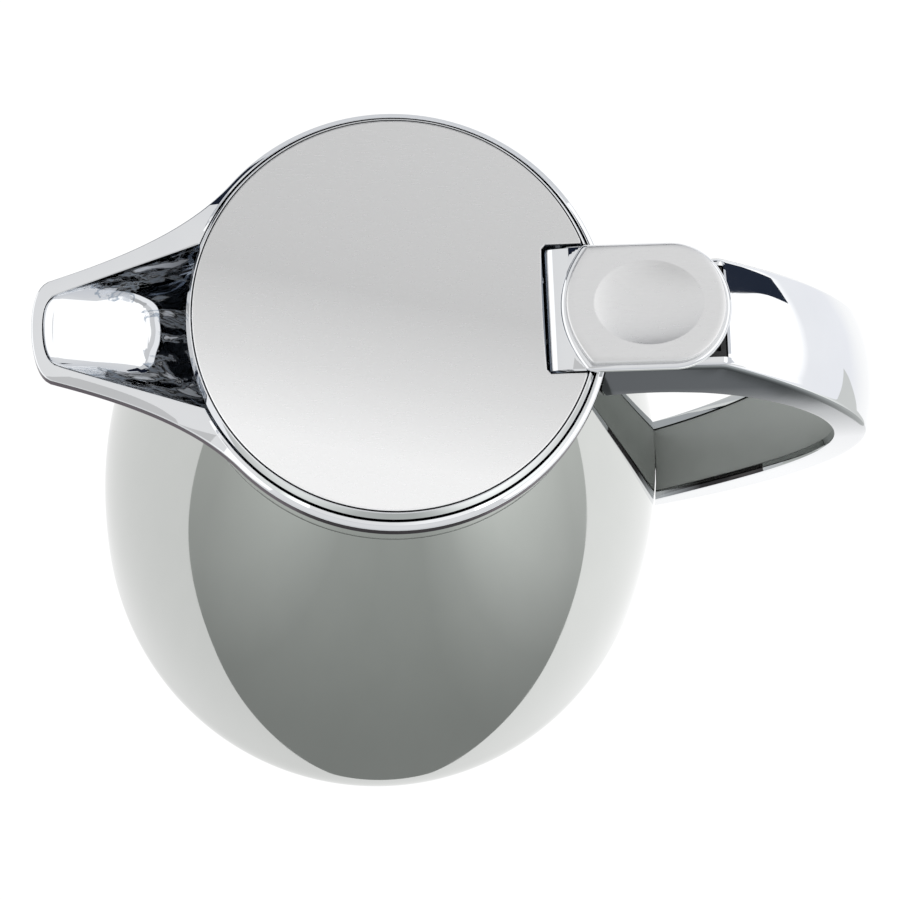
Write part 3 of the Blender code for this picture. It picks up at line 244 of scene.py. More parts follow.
def add_grain(finish, scale, stretch, rough_span, bump, colours=None, detail=4.0):
    """Lets a stretched noise vary roughness, height and, if two colours are given, the tint."""
    nodes, links = finish.node_tree.nodes, finish.node_tree.links
    shader = nodes["Principled BSDF"]
    place = nodes.new("ShaderNodeTexCoord")
    mapping = nodes.new("ShaderNodeMapping")
    mapping.inputs["Scale"].default_value = stretch
    noise = nodes.new("ShaderNodeTexNoise")
    noise.inputs["Scale"].default_value = scale
    noise.inputs["Detail"].default_value = detail
    links.new(place.outputs["Object"], mapping.inputs["Vector"])
    links.new(mapping.outputs["Vector"], noise.inputs["Vector"])
    spread = nodes.new("ShaderNodeMapRange")
    spread.inputs["From Min"].default_value = 0.3
    spread.inputs["From Max"].default_value = 0.7
    spread.inputs["To Min"].default_value = rough_span[0]
    spread.inputs["To Max"].default_value = rough_span[1]
    links.new(noise.outputs["Fac"], spread.inputs["Value"])
    links.new(spread.outputs["Result"], shader.inputs["Roughness"])
    if bump:
        relief = nodes.new("ShaderNodeBump")
        relief.inputs["Strength"].default_value = 1.0
        relief.inputs["Distance"].default_value = bump * MM
        links.new(noise.outputs["Fac"], relief.inputs["Height"])
        links.new(relief.outputs["Normal"], shader.inputs["Normal"])
    if colours:
        ramp = nodes.new("ShaderNodeValToRGB")
        ramp.color_ramp.elements[0].position = 0.3
        ramp.color_ramp.elements[1].position = 0.7
        for stop, colour in zip(ramp.color_ramp.elements, colours):
            stop.color = (*colour, 1.0)
        links.new(noise.outputs["Fac"], ramp.inputs["Fac"])
        links.new(ramp.outputs["Color"], shader.inputs["Base Color"])
    return finish


print("new_finish and add_grain are ready")


# %% Metals
polished_steel = new_finish("polished_steel", (0.575, 0.587, 0.572), 1.0, 0.03,
                            Specular_Tint=(0.87, 0.875, 0.87, 1.0))
add_grain(polished_steel, 160.0, (1.0, 1.0, 0.15), (0.015, 0.045), 0.0,
          ((0.57, 0.584, 0.569), (0.584, 0.597, 0.582)))
CHROME_TINT = (0.76, 0.77, 0.785)
CHROME_SPAN = ((0.75, 0.76, 0.776), (0.77, 0.78, 0.794))
chrome = new_finish("chrome_plate", CHROME_TINT, 1.0, 0.02)
add_grain(chrome, 90.0, (1.0, 1.0, 1.0), (0.01, 0.035), 0.0, CHROME_SPAN)
BELT_GRAIN = 2600.0
ALONG_X = (0.16, 1.0, 1.0)
pad_satin = new_finish("pad_satin", (0.71, 0.71, 0.71), 1.0, 0.3)
add_grain(pad_satin, BELT_GRAIN, ALONG_X, (0.27, 0.33), 0.0, ((0.70, 0.70, 0.702), (0.72, 0.72, 0.722)),
          detail=3.0)
grip_steel = new_finish("grip_steel", (0.45, 0.47, 0.45), 0.4, 0.4)
add_grain(grip_steel, 220.0, (1.0, 1.0, 0.2), (0.36, 0.44), 0.0, ((0.44, 0.46, 0.44), (0.46, 0.48, 0.46)))
# Painted dark reflection: a dark, dull chrome that stands in for the near-black reflection of the upright
# band under the collar's rim, not a tinted plating.
rim_band_painted_dark_chrome = new_finish("rim_band_painted_dark_chrome", (0.25, 0.24, 0.25), 1.0, 0.12,
                           Specular_Tint=(0.37, 0.35, 0.37, 1.0))
add_grain(rim_band_painted_dark_chrome, 150.0, (1.0, 1.0, 0.2), (0.08, 0.18), 0.0,
          ((0.235, 0.225, 0.235), (0.265, 0.255, 0.265)))
fastener_steel = new_finish("fastener_steel", (0.55, 0.55, 0.56), 1.0, 0.3)
add_grain(fastener_steel, 500.0, (1.0, 1.0, 0.3), (0.22, 0.4), 0.004,
          ((0.48, 0.48, 0.49), (0.60, 0.60, 0.61)))
print("metals:", polished_steel.name, chrome.name, pad_satin.name, grip_steel.name, rim_band_painted_dark_chrome.name)


# %% [markdown]
# ## Painted reflections along a piece
# A bright part in a white room still has quiet and dark places, because each place on it mirrors another
# part of the room. Where those things are too small or too near to build, a run of colours along one of the
# piece's own axes paints that reflection in: a painted highlight or a painted dark reflection that sets how
# much light the metal gives back there. An image could be painted for that, but a run of colours needs no
# unwrapping and stays smooth at any size.

# %% A run of colours along an axis
def along_axis(finish, axis, low, high, tilt=0.0):
    """A number that runs from 0 to 1 between two places on an axis, for the sockets of this finish."""
    nodes, links = finish.node_tree.nodes, finish.node_tree.links
    place = nodes.new("ShaderNodeTexCoord")
    turned = nodes.new("ShaderNodeMapping")
    turned.inputs["Rotation"].default_value = (0.0, 0.0, math.radians(tilt))
    split = nodes.new("ShaderNodeSeparateXYZ")
    span = nodes.new("ShaderNodeMapRange")
    span.inputs["From Min"].default_value = low * MM
    span.inputs["From Max"].default_value = high * MM
    links.new(place.outputs["Object"], turned.inputs["Vector"])
    links.new(turned.outputs["Vector"], split.inputs["Vector"])
    links.new(split.outputs[axis], span.inputs["Value"])
    return span.outputs["Result"]


def blend_colours(finish, value, stops, socket="Base Color"):
    """Feeds a run of colours into a socket, one for each (place, grey or colour)."""
    nodes, links = finish.node_tree.nodes, finish.node_tree.links
    ramp = nodes.new("ShaderNodeValToRGB")
    steps = ramp.color_ramp.elements
    while len(steps) < len(stops):
        steps.new(0.5)
    for step, (spot, colour) in zip(steps, stops):
        step.position = spot
        step.color = (*colour, 1.0)
    links.new(value, ramp.inputs["Fac"])
    target = [node for node in nodes if socket in node.inputs][0]
    links.new(ramp.outputs["Color"], target.inputs[socket])


def grey(value):
    return (value, value, value)


print("along_axis, blend_colours and grey are ready")

# %% Satin disc
satin_steel = new_finish("satin_steel", (0.80, 0.80, 0.80), 1.0, 0.3)
add_grain(satin_steel, BELT_GRAIN, ALONG_X, (0.26, 0.34), 0.0, detail=3.0)
# Painted reflection: the disc's grey runs from darker at the back to brightest at the front, standing in for
# the sky's glow in the satin.
disc_painted_reflection = along_axis(satin_steel, "Y", 48.0, -48.0, 14.0)
blend_colours(satin_steel, disc_painted_reflection,
              [(0.0, grey(0.66)), (0.46, grey(0.61)), (0.66, grey(0.76)), (0.86, grey(0.97)),
               (1.0, grey(1.0))])
print("disc:", satin_steel.name)

# %% Chrome of the trough, with painted reflection streaks
STREAKS_FROM, STREAKS_TO = -68.0, -44.0
trough_chrome_painted_reflection = new_finish("trough_chrome_painted_reflection", CHROME_TINT, 1.0, 0.02)
add_grain(trough_chrome_painted_reflection, 90.0, (0.5, 1.3, 0.8), (0.01, 0.03), 1.5, CHROME_SPAN, 0.6)
nodes, links = trough_chrome_painted_reflection.node_tree.nodes, trough_chrome_painted_reflection.node_tree.links
streak_noise_painted_reflection = nodes.new("ShaderNodeTexNoise")
streak_noise_painted_reflection.inputs["Scale"].default_value = 75.0
streak_noise_painted_reflection.inputs["Detail"].default_value = 3.0
streak_noise_painted_reflection.inputs["Distortion"].default_value = 2.2
flow = nodes.new("ShaderNodeMapping")
flow.inputs["Rotation"].default_value = (0.0, 0.0, math.radians(28.0))
flow.inputs["Scale"].default_value = (0.7, 1.7, 1.2)
place = [node for node in nodes if node.type == "TEX_COORD"][0]
links.new(place.outputs["Object"], flow.inputs["Vector"])
links.new(flow.outputs["Vector"], streak_noise_painted_reflection.inputs["Vector"])
# Painted reflection streaks: in two narrow bands of a swirled, stretched noise the chrome turns to a dull
# bluish tone or a pale, partly diffuse tone, standing in for the navy and white streaks the trough mirrors.
blend_colours(trough_chrome_painted_reflection, streak_noise_painted_reflection.outputs["Fac"],
              [(0.50, grey(1.0)), (0.56, grey(0.45)), (0.60, grey(1.0)), (0.66, grey(0.2))], "Metallic")
blend_colours(trough_chrome_painted_reflection, streak_noise_painted_reflection.outputs["Fac"],
              [(0.50, CHROME_SPAN[0]), (0.56, (0.36, 0.42, 0.50)), (0.60, CHROME_SPAN[0]),
               (0.66, (0.80, 0.84, 0.90))])
relief = [node for node in nodes if node.type == "BUMP"][0]
links.new(along_axis(trough_chrome_painted_reflection, "X", STREAKS_FROM, STREAKS_TO), relief.inputs["Strength"])
print("trough:", trough_chrome_painted_reflection.name)

# %% Chrome of the handle with painted reflections, gloss of the stopper
FLANK_LOW, FLANK_HIGH = 120.0, 212.0
# Painted dark reflection on the handle's lower lip: between these two places along X the lip's chrome is
# painted almost black, with chrome at both ends.
DARK_EDGE_START, DARK_EDGE_END = 74.0, 112.0
PAINTED_DARK_LIP = (0.07, 0.065, 0.067)
# Painted reflection on the handle's flanks: colour and reflection strength fall from full chrome low down to
# dark grey at the top, so each flank is painted darker towards the top.
flank_chrome_painted_falloff = new_finish("flank_chrome_painted_falloff", CHROME_TINT, 1.0, 0.06)
blend_colours(flank_chrome_painted_falloff, along_axis(flank_chrome_painted_falloff, "Z", FLANK_LOW, FLANK_HIGH),
              [(0.0, CHROME_TINT), (0.45, (0.72, 0.73, 0.75)), (0.75, (0.50, 0.515, 0.53)),
               (0.93, (0.33, 0.345, 0.36)), (1.0, (0.28, 0.295, 0.31))])
blend_colours(flank_chrome_painted_falloff, along_axis(flank_chrome_painted_falloff, "Z", FLANK_LOW, FLANK_HIGH),
              [(0.0, grey(1.0)), (0.45, grey(0.95)), (0.75, grey(0.68)), (0.93, grey(0.34)),
               (1.0, grey(0.27))], "Specular Tint")
lower_lip_painted_dark_chrome = new_finish("lower_lip_painted_dark_chrome", CHROME_TINT, 1.0, 0.06)
blend_colours(lower_lip_painted_dark_chrome, along_axis(lower_lip_painted_dark_chrome, "X", DARK_EDGE_START, DARK_EDGE_END),
              [(0.0, (0.70, 0.71, 0.73)), (0.22, PAINTED_DARK_LIP), (0.8, PAINTED_DARK_LIP), (0.95, CHROME_TINT)])
lid_gloss = new_finish("lid_gloss", (0.22, 0.26, 0.32), 0.85, 0.05, Coat_Weight=1.0)
add_grain(lid_gloss, 90.0, (1.0, 1.0, 0.4), (0.05, 0.09), 0.0, ((0.18, 0.215, 0.27), (0.27, 0.31, 0.37)))
print("handle and stopper:", flank_chrome_painted_falloff.name, lower_lip_painted_dark_chrome.name, lid_gloss.name)


# %% [markdown]
# ## Plastics, rubber and glass
# The parts that nobody polishes are black and grey plastic, soft silicone and silvered glass. One dull grey
# could serve for all of them, but a lifted lid shows the stopper, its gasket and the mouth of the flask
# side by side, and they only look real when each spreads light in its own way. So each one has its own
# roughness and a fine moulded grain.

# %% Plastics, rubber and glass
black_plastic = new_finish("black_plastic", (0.015, 0.015, 0.017), 0.0, 0.42)
add_grain(black_plastic, 900.0, (0.12, 1.0, 1.0), (0.32, 0.55), 0.02,
          ((0.010, 0.010, 0.012), (0.024, 0.024, 0.026)))
grey_plastic = new_finish("grey_plastic", (0.20, 0.21, 0.22), 0.0, 0.45)
add_grain(grey_plastic, 700.0, (1.0, 1.0, 1.0), (0.38, 0.52), 0.012, ((0.18, 0.19, 0.20), (0.23, 0.24, 0.25)))
silicone = new_finish("silicone", (0.09, 0.09, 0.10), 0.0, 0.6, Sheen_Weight=0.15)
add_grain(silicone, 400.0, (1.0, 1.0, 1.0), (0.5, 0.7), 0.01, ((0.07, 0.07, 0.08), (0.11, 0.11, 0.12)))
silvered_glass = new_finish("silvered_glass", (0.82, 0.84, 0.85), 1.0, 0.05, Coat_Weight=1.0)
add_grain(silvered_glass, 60.0, (1.0, 1.0, 0.4), (0.03, 0.09), 0.0, ((0.80, 0.82, 0.83), (0.86, 0.87, 0.88)))
print("others:", black_plastic.name, grey_plastic.name, silicone.name, silvered_glass.name)


# %% [markdown]
# ## The steel jacket
# The body is spun or pressed from sheet: one smooth outline from the neck to the belly and under to the
# base. A lathe is the same process in a mesh. Two curves that share a tangent at the belly make the
# outline, and a second line inside it gives the sheet its thickness. A close grid keeps the mirror
# reflection free of facets.

# %% Body outline
BELLY_HEIGHT = 40.0
NECK_SLOPE = 0.26


def body_outline(count):
    fall = COVE_HEIGHT - BELLY_HEIGHT
    drop = BELLY_HEIGHT - JACKET_LOW
    upper = curve([(NECK_RADIUS, COVE_HEIGHT),
                   (NECK_RADIUS + NECK_SLOPE * 0.45 * fall, COVE_HEIGHT - 0.45 * fall),
                   (BELLY_RADIUS, BELLY_HEIGHT + 0.335 * fall), (BELLY_RADIUS, BELLY_HEIGHT)], count)
    lower = curve([(BELLY_RADIUS, BELLY_HEIGHT), (BELLY_RADIUS, BELLY_HEIGHT - 0.66 * drop),
                   (BASE_RADIUS + 8.5, JACKET_LOW + 0.047 * drop), (BASE_RADIUS, JACKET_LOW)], count // 2)
    return np.vstack([upper, lower[1:]])


OUTLINE = body_outline(400)


def body_radius(height):
    return float(np.interp(height, OUTLINE[::-1, 1], OUTLINE[::-1, 0]))


seam_radius = body_radius(JACKET_TOP)
print(f"outline runs from radius {seam_radius:.1f} at the neck to {BELLY_RADIUS:.1f} at the belly")

# %% Jacket
SHEET = 0.7
JACKET_LIP = 2.7
outer = [p for p in body_outline(150) if p[1] < JACKET_TOP - 0.4]
outer = np.vstack([[(seam_radius, JACKET_TOP)], outer])
along = np.gradient(outer, axis=0)
along /= np.linalg.norm(along, axis=1)[:, None]
inner = outer + SHEET * np.column_stack([along[:, 1], -along[:, 0]])
inner[0, 1] = JACKET_TOP
lip = BASE_RADIUS - JACKET_LIP
turned_in = [(lip, JACKET_LOW), (lip, JACKET_LOW + SHEET), (BASE_RADIUS, JACKET_LOW + SHEET)]
profile = [*outer, *turned_in, *inner[:-1][::-1]]
complete(as_object("jacket", turn(profile, sides=256)), [polished_steel], "jug", ["body_jacket"])


# %% [markdown]
# ## Base cap and foot pad
# The jug stands on a soft disc let into a black cap that closes the jacket. Both are turned pieces. They
# are hardly seen, but a rounded lower edge gives the thin shadow line that every real jug has at the table.

# %% Base
base_low, base_high = node_box("base_cap")
foot_edge, foot_top = node_box("foot_pad")[1].y, node_box("foot_pad")[1].z
BASE_SPIGOT = BASE_RADIUS - JACKET_LIP - AIR
SPIGOT_WALL = 2.2
base_top = JACKET_LOW - AIR
recess = foot_edge + AIR
profile = [(0, base_top), *soften([
    (BASE_SPIGOT - SPIGOT_WALL, base_top), (BASE_SPIGOT - SPIGOT_WALL, base_high.z),
    (BASE_SPIGOT, base_high.z),
    (BASE_SPIGOT, base_top), (BASE_RADIUS, base_top), (BASE_RADIUS, base_low.z, 1.6), (recess, base_low.z),
    (recess, foot_top + AIR)], 0.3), (0, foot_top + AIR)]
complete(as_object("base_moulding", turn(profile, 128, on_axis=True)), [black_plastic], "jug", ["base_cap"])
profile = [(0, foot_top), *soften([(foot_edge, foot_top), (foot_edge, 0.0), (foot_edge - 1.5, 0.0)], 0.3),
           (0, 0.0)]
complete(as_object("foot_disc", turn(profile, 128, on_axis=True)), [silicone], "jug", ["foot_pad"])


# %% [markdown]
# ## Collar and spout
# The collar is one chromed casting: a neck ring, a rim round the lid, and a spout drawn out of it. It could
# be a ring with a spout welded on by a Boolean, but a joint like that shows as a crease in chrome. So the
# whole casting is one skin: a closed section for each angle round the axis, which changes smoothly from
# ring to spout.

# %% Plan of the rim and the trough
SPOUT_TIP_HALF = 12.0
SPOUT_TIP_ROUND = 4.4
SPOUT_ROOT_ANGLE = 43.0
SPOUT_RIM = 3.4
SPOUT_TIP_RIM = 2.7
TROUGH_MEETS_LID = 24.0


def as_polar(points):
    points = np.asarray(points, float)
    angles = np.degrees(np.arctan2(points[:, 1], points[:, 0]))
    order = np.argsort(angles)
    return angles[order], np.hypot(points[:, 0], points[:, 1])[order]


def spout_outer():
    tip = curve([(SPOUT_REACH, 0), (SPOUT_REACH, 0.5 * SPOUT_TIP_HALF),
                 (SPOUT_REACH - 0.32 * SPOUT_TIP_ROUND, 0.92 * SPOUT_TIP_HALF),
                 (SPOUT_REACH - SPOUT_TIP_ROUND, SPOUT_TIP_HALF)], 160)
    root = math.radians(SPOUT_ROOT_ANGLE)
    end = COLLAR_RADIUS * np.array([math.cos(root), math.sin(root)])
    start = tip[-1]
    run = start[0] - end[0]
    arriving = end + 12.5 * np.array([math.sin(root), -math.cos(root)])
    side = curve([start, start + np.array([-0.51, 0.153]) * run, arriving, end], 300)
    return as_polar(np.vstack([tip, side[1:]]))


def spout_inner():
    reach = SPOUT_REACH - SPOUT_TIP_RIM
    half = SPOUT_TIP_HALF - SPOUT_RIM + 0.3
    corner = np.array([SPOUT_REACH - SPOUT_TIP_ROUND - SPOUT_TIP_RIM, half])
    tip = curve([(reach, 0), (reach, 0.55 * half), (reach - 0.9, 0.92 * half), corner], 160)
    meet = math.radians(TROUGH_MEETS_LID)
    end = COLLAR_INNER * np.array([math.cos(meet), math.sin(meet)])
    run = corner[0] - end[0]
    leaving = corner + np.array([-0.45, 0.155]) * run
    arriving = end + np.array([0.25, -0.085]) * run
    return as_polar(np.vstack([tip, curve([corner, leaving, arriving, end], 300)[1:]]))


OUTER_PLAN, INNER_PLAN = spout_outer(), spout_inner()
print(f"spout reaches {SPOUT_REACH:.1f} mm from the axis, lips {SPOUT_RIM} mm wide")


# %% Section of the casting at one angle
BOWL_RADIUS = COLLAR_INNER - 2.25
FLOOR_UNDER = node_box("neck_gasket")[1].z + AIR
FLOOR_TOP = FLOOR_UNDER + 2.0
FLASK_HOLE = 27.5
LIP_TOP = LID_TOP - 3.6
TROUGH_TIP_DEPTH = 2.8


def dished(radius, low_radius, edge_radius, low, edge, power):
    """A height that stays near low and climbs to edge as radius nears edge_radius."""
    part = min(max((radius - low_radius) / (edge_radius - low_radius), 0.0), 1.0)
    return low + (edge - low) * part ** power


def outside_curve(outer, spout, count):
    """The outside of the casting from the seam up to the rim: a cove on the ring, a keel under the spout."""
    foot = JACKET_TOP + AIR
    foot_radius = body_radius(foot)
    end = outer - 0.55
    full_reach = SPOUT_REACH - 0.6 - foot_radius
    points = []
    for t in np.linspace(0.0, 1.0, count)[1:]:
        if t < 0.6:
            height = foot + (COVE_HEIGHT - foot) * t / 0.6
            plain = np.array([body_radius(height), height])
        else:
            s = (t - 0.6) / 0.4
            cove = [(NECK_RADIUS, COVE_HEIGHT), (NECK_RADIUS + 0.1, COVE_HEIGHT + 1.4),
                    (COLLAR_RADIUS - 1.9, RIM_FOOT - 0.1), (COLLAR_RADIUS - 0.55, RIM_FOOT - 0.1)]
            plain = on_curve(cove, s)
        radius = foot_radius + (end - foot_radius) * t
        keel = foot + 0.6 + (RIM_FOOT - foot - 0.6) * (radius - foot_radius) / full_reach
        drawn = np.array([radius, dished(radius, foot_radius, end, keel, RIM_FOOT - 0.1, 2.5)])
        points.append(plain + (drawn - plain) * spout)
    return points


def casting_section(off):
    spout = 1.0 - ease(20.0, 40.0, abs(off))
    outer = float(np.interp(abs(off), *OUTER_PLAN, right=COLLAR_RADIUS))
    inner = float(np.interp(abs(off), *INNER_PLAN, right=COLLAR_INNER))
    lip = LIP_TOP + (RIM_TOP + 0.1 - LIP_TOP) * (1.0 - ease(24.0, 38.0, abs(off)))
    spigot = seam_radius - SHEET - 0.5
    seam = JACKET_TOP + AIR
    low = soften([(FLASK_HOLE, FLOOR_TOP), (FLASK_HOLE, FLOOR_UNDER), (spigot - 2.0, FLOOR_UNDER),
                  (spigot - 2.0, FLOOR_UNDER - 8.0), (spigot, FLOOR_UNDER - 8.0), (spigot, seam),
                  (body_radius(seam), seam), (body_radius(JACKET_TOP + 2), JACKET_TOP + 2)], 0.25, 3)[2:-2]
    ledge = RIM_TOP + 0.15 + 0.2 * (1.0 - spout)
    top = soften([(outer - 1.4, RIM_FOOT - 0.2), (outer, RIM_FOOT + 0.1, 0.3), (outer, RIM_FOOT + 0.6, 0.02),
                  (outer, RIM_TOP - 0.9, 0.02), (outer, RIM_TOP - 0.1, 0.5), (inner + 0.72, ledge, 0.1),
                  (inner + 0.14, lip, 0.14), (inner, lip - 0.9, 0.3)], 0.2, 6)[6:-6]
    low_floor = FLOOR_TOP + 1.2
    high_floor = RIM_TOP - TROUGH_TIP_DEPTH
    floor_run = SPOUT_REACH - SPOUT_TIP_RIM - BOWL_RADIUS
    bowl = []
    for share in np.linspace(1.0, 0.0, 27)[1:]:
        share = share ** 0.8
        radius = BOWL_RADIUS + (inner - BOWL_RADIUS) * share
        floor = low_floor + (high_floor - low_floor) * (radius - BOWL_RADIUS) / floor_run
        bowl.append((radius, dished(radius, BOWL_RADIUS, inner, floor, lip - 0.5, 3.5)))
    foot = [(BOWL_RADIUS - 1.2, FLOOR_TOP + 0.5), (BOWL_RADIUS - 2.4, FLOOR_TOP + 0.2),
            (BOWL_RADIUS - 4.5, FLOOR_TOP)]
    return [*low, *outside_curve(outer, spout, 34), *top, *bowl, *foot]


print(f"{len(casting_section(0.0))} points in the section")

# %% Collar
fine = np.arange(-48.0, 48.0, 0.6)
coarse = np.linspace(48.0, 312.0, 111)[:-1]
rows = []
for off in [*fine, *coarse]:
    away = off if off <= 180.0 else off - 360.0
    direction = math.radians(180.0 + off)
    rows.append([(r * math.cos(direction), r * math.sin(direction), z) for r, z in casting_section(away)])
collar = as_object("collar_casting", skin(rows, wrap_rows=True))
complete(collar, [chrome, rim_band_painted_dark_chrome, trough_chrome_painted_reflection, polished_steel], "jug", ["collar_with_spout"],
         crease=50.0)
PAINTED_DARK_BAND, PAINTED_STREAK_TROUGH, POLISHED = 1, 2, 3
BAND_LOW, BAND_HIGH = RIM_FOOT + 0.15, RIM_TOP - 0.3
SPOUT_ROOT_X, TROUGH_X, SMOOTH_TIP_X = -46.0, -42.0, -58.0
SMOOTH_TIP_HALF = 8.5
for face in collar.data.polygons:
    spot = face.center / MM
    outside = face.normal.x * face.center.x + face.normal.y * face.center.y > 0
    # The rim's upright outer band gets the painted dark reflection.
    if outside and abs(face.normal.z) < 0.6 and BAND_LOW < spot.z < BAND_HIGH:
        face.material_index = PAINTED_DARK_BAND
    if outside and spot.z < RIM_FOOT - 2.0 and spot.x > SPOUT_ROOT_X:
        face.material_index = POLISHED
    smooth_tip = spot.x < SMOOTH_TIP_X and abs(spot.y) < SMOOTH_TIP_HALF
    trough = spot.x < TROUGH_X and face.normal.z > 0.03
    # Faces of the trough get the chrome with the painted reflection streaks.
    if trough and not outside and not smooth_tip and FLOOR_TOP - 1.0 < spot.z < RIM_TOP - 1.0:
        face.material_index = PAINTED_STREAK_TROUGH
print("dark band faces:", sum(face.material_index == PAINTED_DARK_BAND for face in collar.data.polygons))


# %% [markdown]
# ## Lid disc and bezel
# The lid is faced with a satin steel disc inside a chrome ring. Both have a gap on the handle's side for
# the lever. The disc is cut from sheet, so its outline is drawn once and given a thin rounded edge. The
# ring is a turned section carried only as far as the gap.

# %% Disc
CUT_START = 34.8
CUT_HALF = node_box("lever_frame")[1].y + AIR


def disc_outline(inset):
    """The disc's edge moved inwards by inset, with rounded corners at the lever's gap."""
    radius = DISC_RADIUS - inset
    half = CUT_HALF + inset
    start = CUT_START - inset
    mouth = math.degrees(math.asin(half / radius))
    arc = np.radians(np.linspace(mouth + 1.2, 360.0 - mouth - 1.2, 181))
    edge = [(radius * math.cos(a), radius * math.sin(a)) for a in arc]
    below = [(radius * math.cos(arc[-1]) + 0.15, -half), (start + 1.0, -half)]
    notch = [(start - 0.35 + 0.35 * s * s, half * s * 0.93) for s in np.linspace(-1.0, 1.0, 15)]
    above = [(start + 1.0, half), (radius * math.cos(arc[0]) + 0.15, half)]
    return edge + below + notch + above


disc_low = node_box("lid_disc")[0].z
levels = [(0.0, disc_low), (0.0, LID_TOP - 0.28), (0.03, LID_TOP - 0.16), (0.1, LID_TOP - 0.06),
          (0.22, LID_TOP - 0.01), (0.4, LID_TOP)]
rows = [[(x, y, z) for x, y in disc_outline(inset)] for inset, z in levels]
disc = as_object("lid_facing", skin(rows, False, caps=True))
complete(disc, [satin_steel], "lid", ["lid_disc"], crease=60.0)

# %% Bezel
inside = DISC_RADIUS + AIR
profile = soften([(inside, LID_TOP - 0.45), (inside + 0.25, LID_TOP - 0.45), (BEZEL_RADIUS, LID_TOP - 3.1),
                  (BEZEL_RADIUS, BEZEL_LOW), (inside, BEZEL_LOW)], 0.18, 5)
mouth = math.degrees(math.asin(CUT_HALF / BEZEL_RADIUS)) + 0.25
ring = as_object("lid_ring", turn(profile, 192, arc=(mouth, 360.0 - mouth)))
complete(ring, [chrome], "lid", ["lid_bezel"], crease=60.0)


# %% [markdown]
# ## Lever: chrome frame and thumb pad
# The lever is a chrome casting that rocks on a pin in the lid. Its neck slopes down through the gap in the
# disc, and a satin pad with an oval hollow for the thumb is let into its top. The hollow could be a bump in
# a material, but it is millimetres deep and catches light from the side, so it is real shape, in rings that
# change from an oval in the middle to the pad's outline at its edge.

# %% Plan outlines
pad_low, pad_high = node_box("thumb_pad")
lever_low, lever_high = node_box("lever_frame")
NEAR_BULGE = 5.6
FAR_BULGE = 12.5
FRAME_BORDER = lever_high.y - pad_high.y
hollow_centre = np.array([0.5 * (pad_low.x + pad_high.x) + 0.6, 0.0])


def lever_plan(start, end, half, far_bulge):
    far = np.radians(np.linspace(-90.0, 90.0, 41))
    plan = [(end - far_bulge + far_bulge * math.cos(a), half * math.sin(a)) for a in far]
    near = [(start + NEAR_BULGE * s * s, half * s) for s in np.linspace(1.0, -1.0, 25)]
    sides = np.linspace(end - far_bulge, start + NEAR_BULGE, 30)[1:-1]
    upper = [(x, half) for x in sides]
    lower = [(x, -half) for x in sides[::-1]]
    plan = soften(plan + upper + near + lower, 0.9, 3)
    angles = np.degrees([math.atan2(y - hollow_centre[1], x - hollow_centre[0]) for x, y in plan])
    radii = [math.hypot(x - hollow_centre[0], y - hollow_centre[1]) for x, y in plan]
    order = np.argsort(angles)
    return angles[order], np.array(radii)[order]


PLAN_STEPS = np.linspace(-180.0, 180.0, 241)[:-1]


def plan_row(plan, inset, z):
    """One row of points round the pad or the frame, at a height."""
    row = []
    for angle in PLAN_STEPS:
        radius = float(np.interp(angle, *plan, period=360.0)) - inset
        a = math.radians(angle)
        row.append((hollow_centre[0] + radius * math.cos(a), radius * math.sin(a), z))
    return row


pad_plan = lever_plan(pad_low.x, pad_high.x, pad_high.y, FAR_BULGE)
frame_plan = lever_plan(pad_low.x - FRAME_BORDER, lever_high.x, lever_high.y, FAR_BULGE + 1.5)
print(f"pad {pad_high.x - pad_low.x:.1f} by {2 * pad_high.y:.1f} mm, frame border {FRAME_BORDER:.1f} mm")

# %% Thumb pad
HOLLOW_DEPTH = 1.15
HOLLOW_X = 12.9
HOLLOW_Y = 10.2
top = pad_high.z
rows = [plan_row(pad_plan, 0.3, pad_low.z), plan_row(pad_plan, 0.0, pad_low.z + 0.25)]
rounding = [(0.0, 0.55), (0.05, 0.32), (0.2, 0.12), (0.5, 0.0)]
rows += [plan_row(pad_plan, inset, top - drop) for inset, drop in rounding]
edge_row = rows[-1]
for share in (0.25, 0.5, 0.72, 0.88, 0.96, 1.0):
    row = []
    for angle, edge in zip(PLAN_STEPS, edge_row):
        a = math.radians(angle)
        oval = hollow_centre + np.array([HOLLOW_X * math.cos(a), HOLLOW_Y * math.sin(a)])
        row.append((edge[0] + (oval[0] - edge[0]) * share, edge[1] + (oval[1] - edge[1]) * share, top))
    rows.append(row)
for share in (0.985, 0.96, 0.92, 0.87, 0.8, 0.7, 0.58, 0.45, 0.3, 0.15):
    depth = HOLLOW_DEPTH * (1.0 - share ** 2.4)
    length, width = HOLLOW_X * share, HOLLOW_Y * share
    rows.append([(hollow_centre[0] + length * math.cos(a), width * math.sin(a), top - depth)
                 for a in np.radians(PLAN_STEPS)])
pad = as_object("thumb_rest", skin(rows, False, caps=True))
complete(pad, [pad_satin], "lever", ["thumb_pad"], crease=60.0)

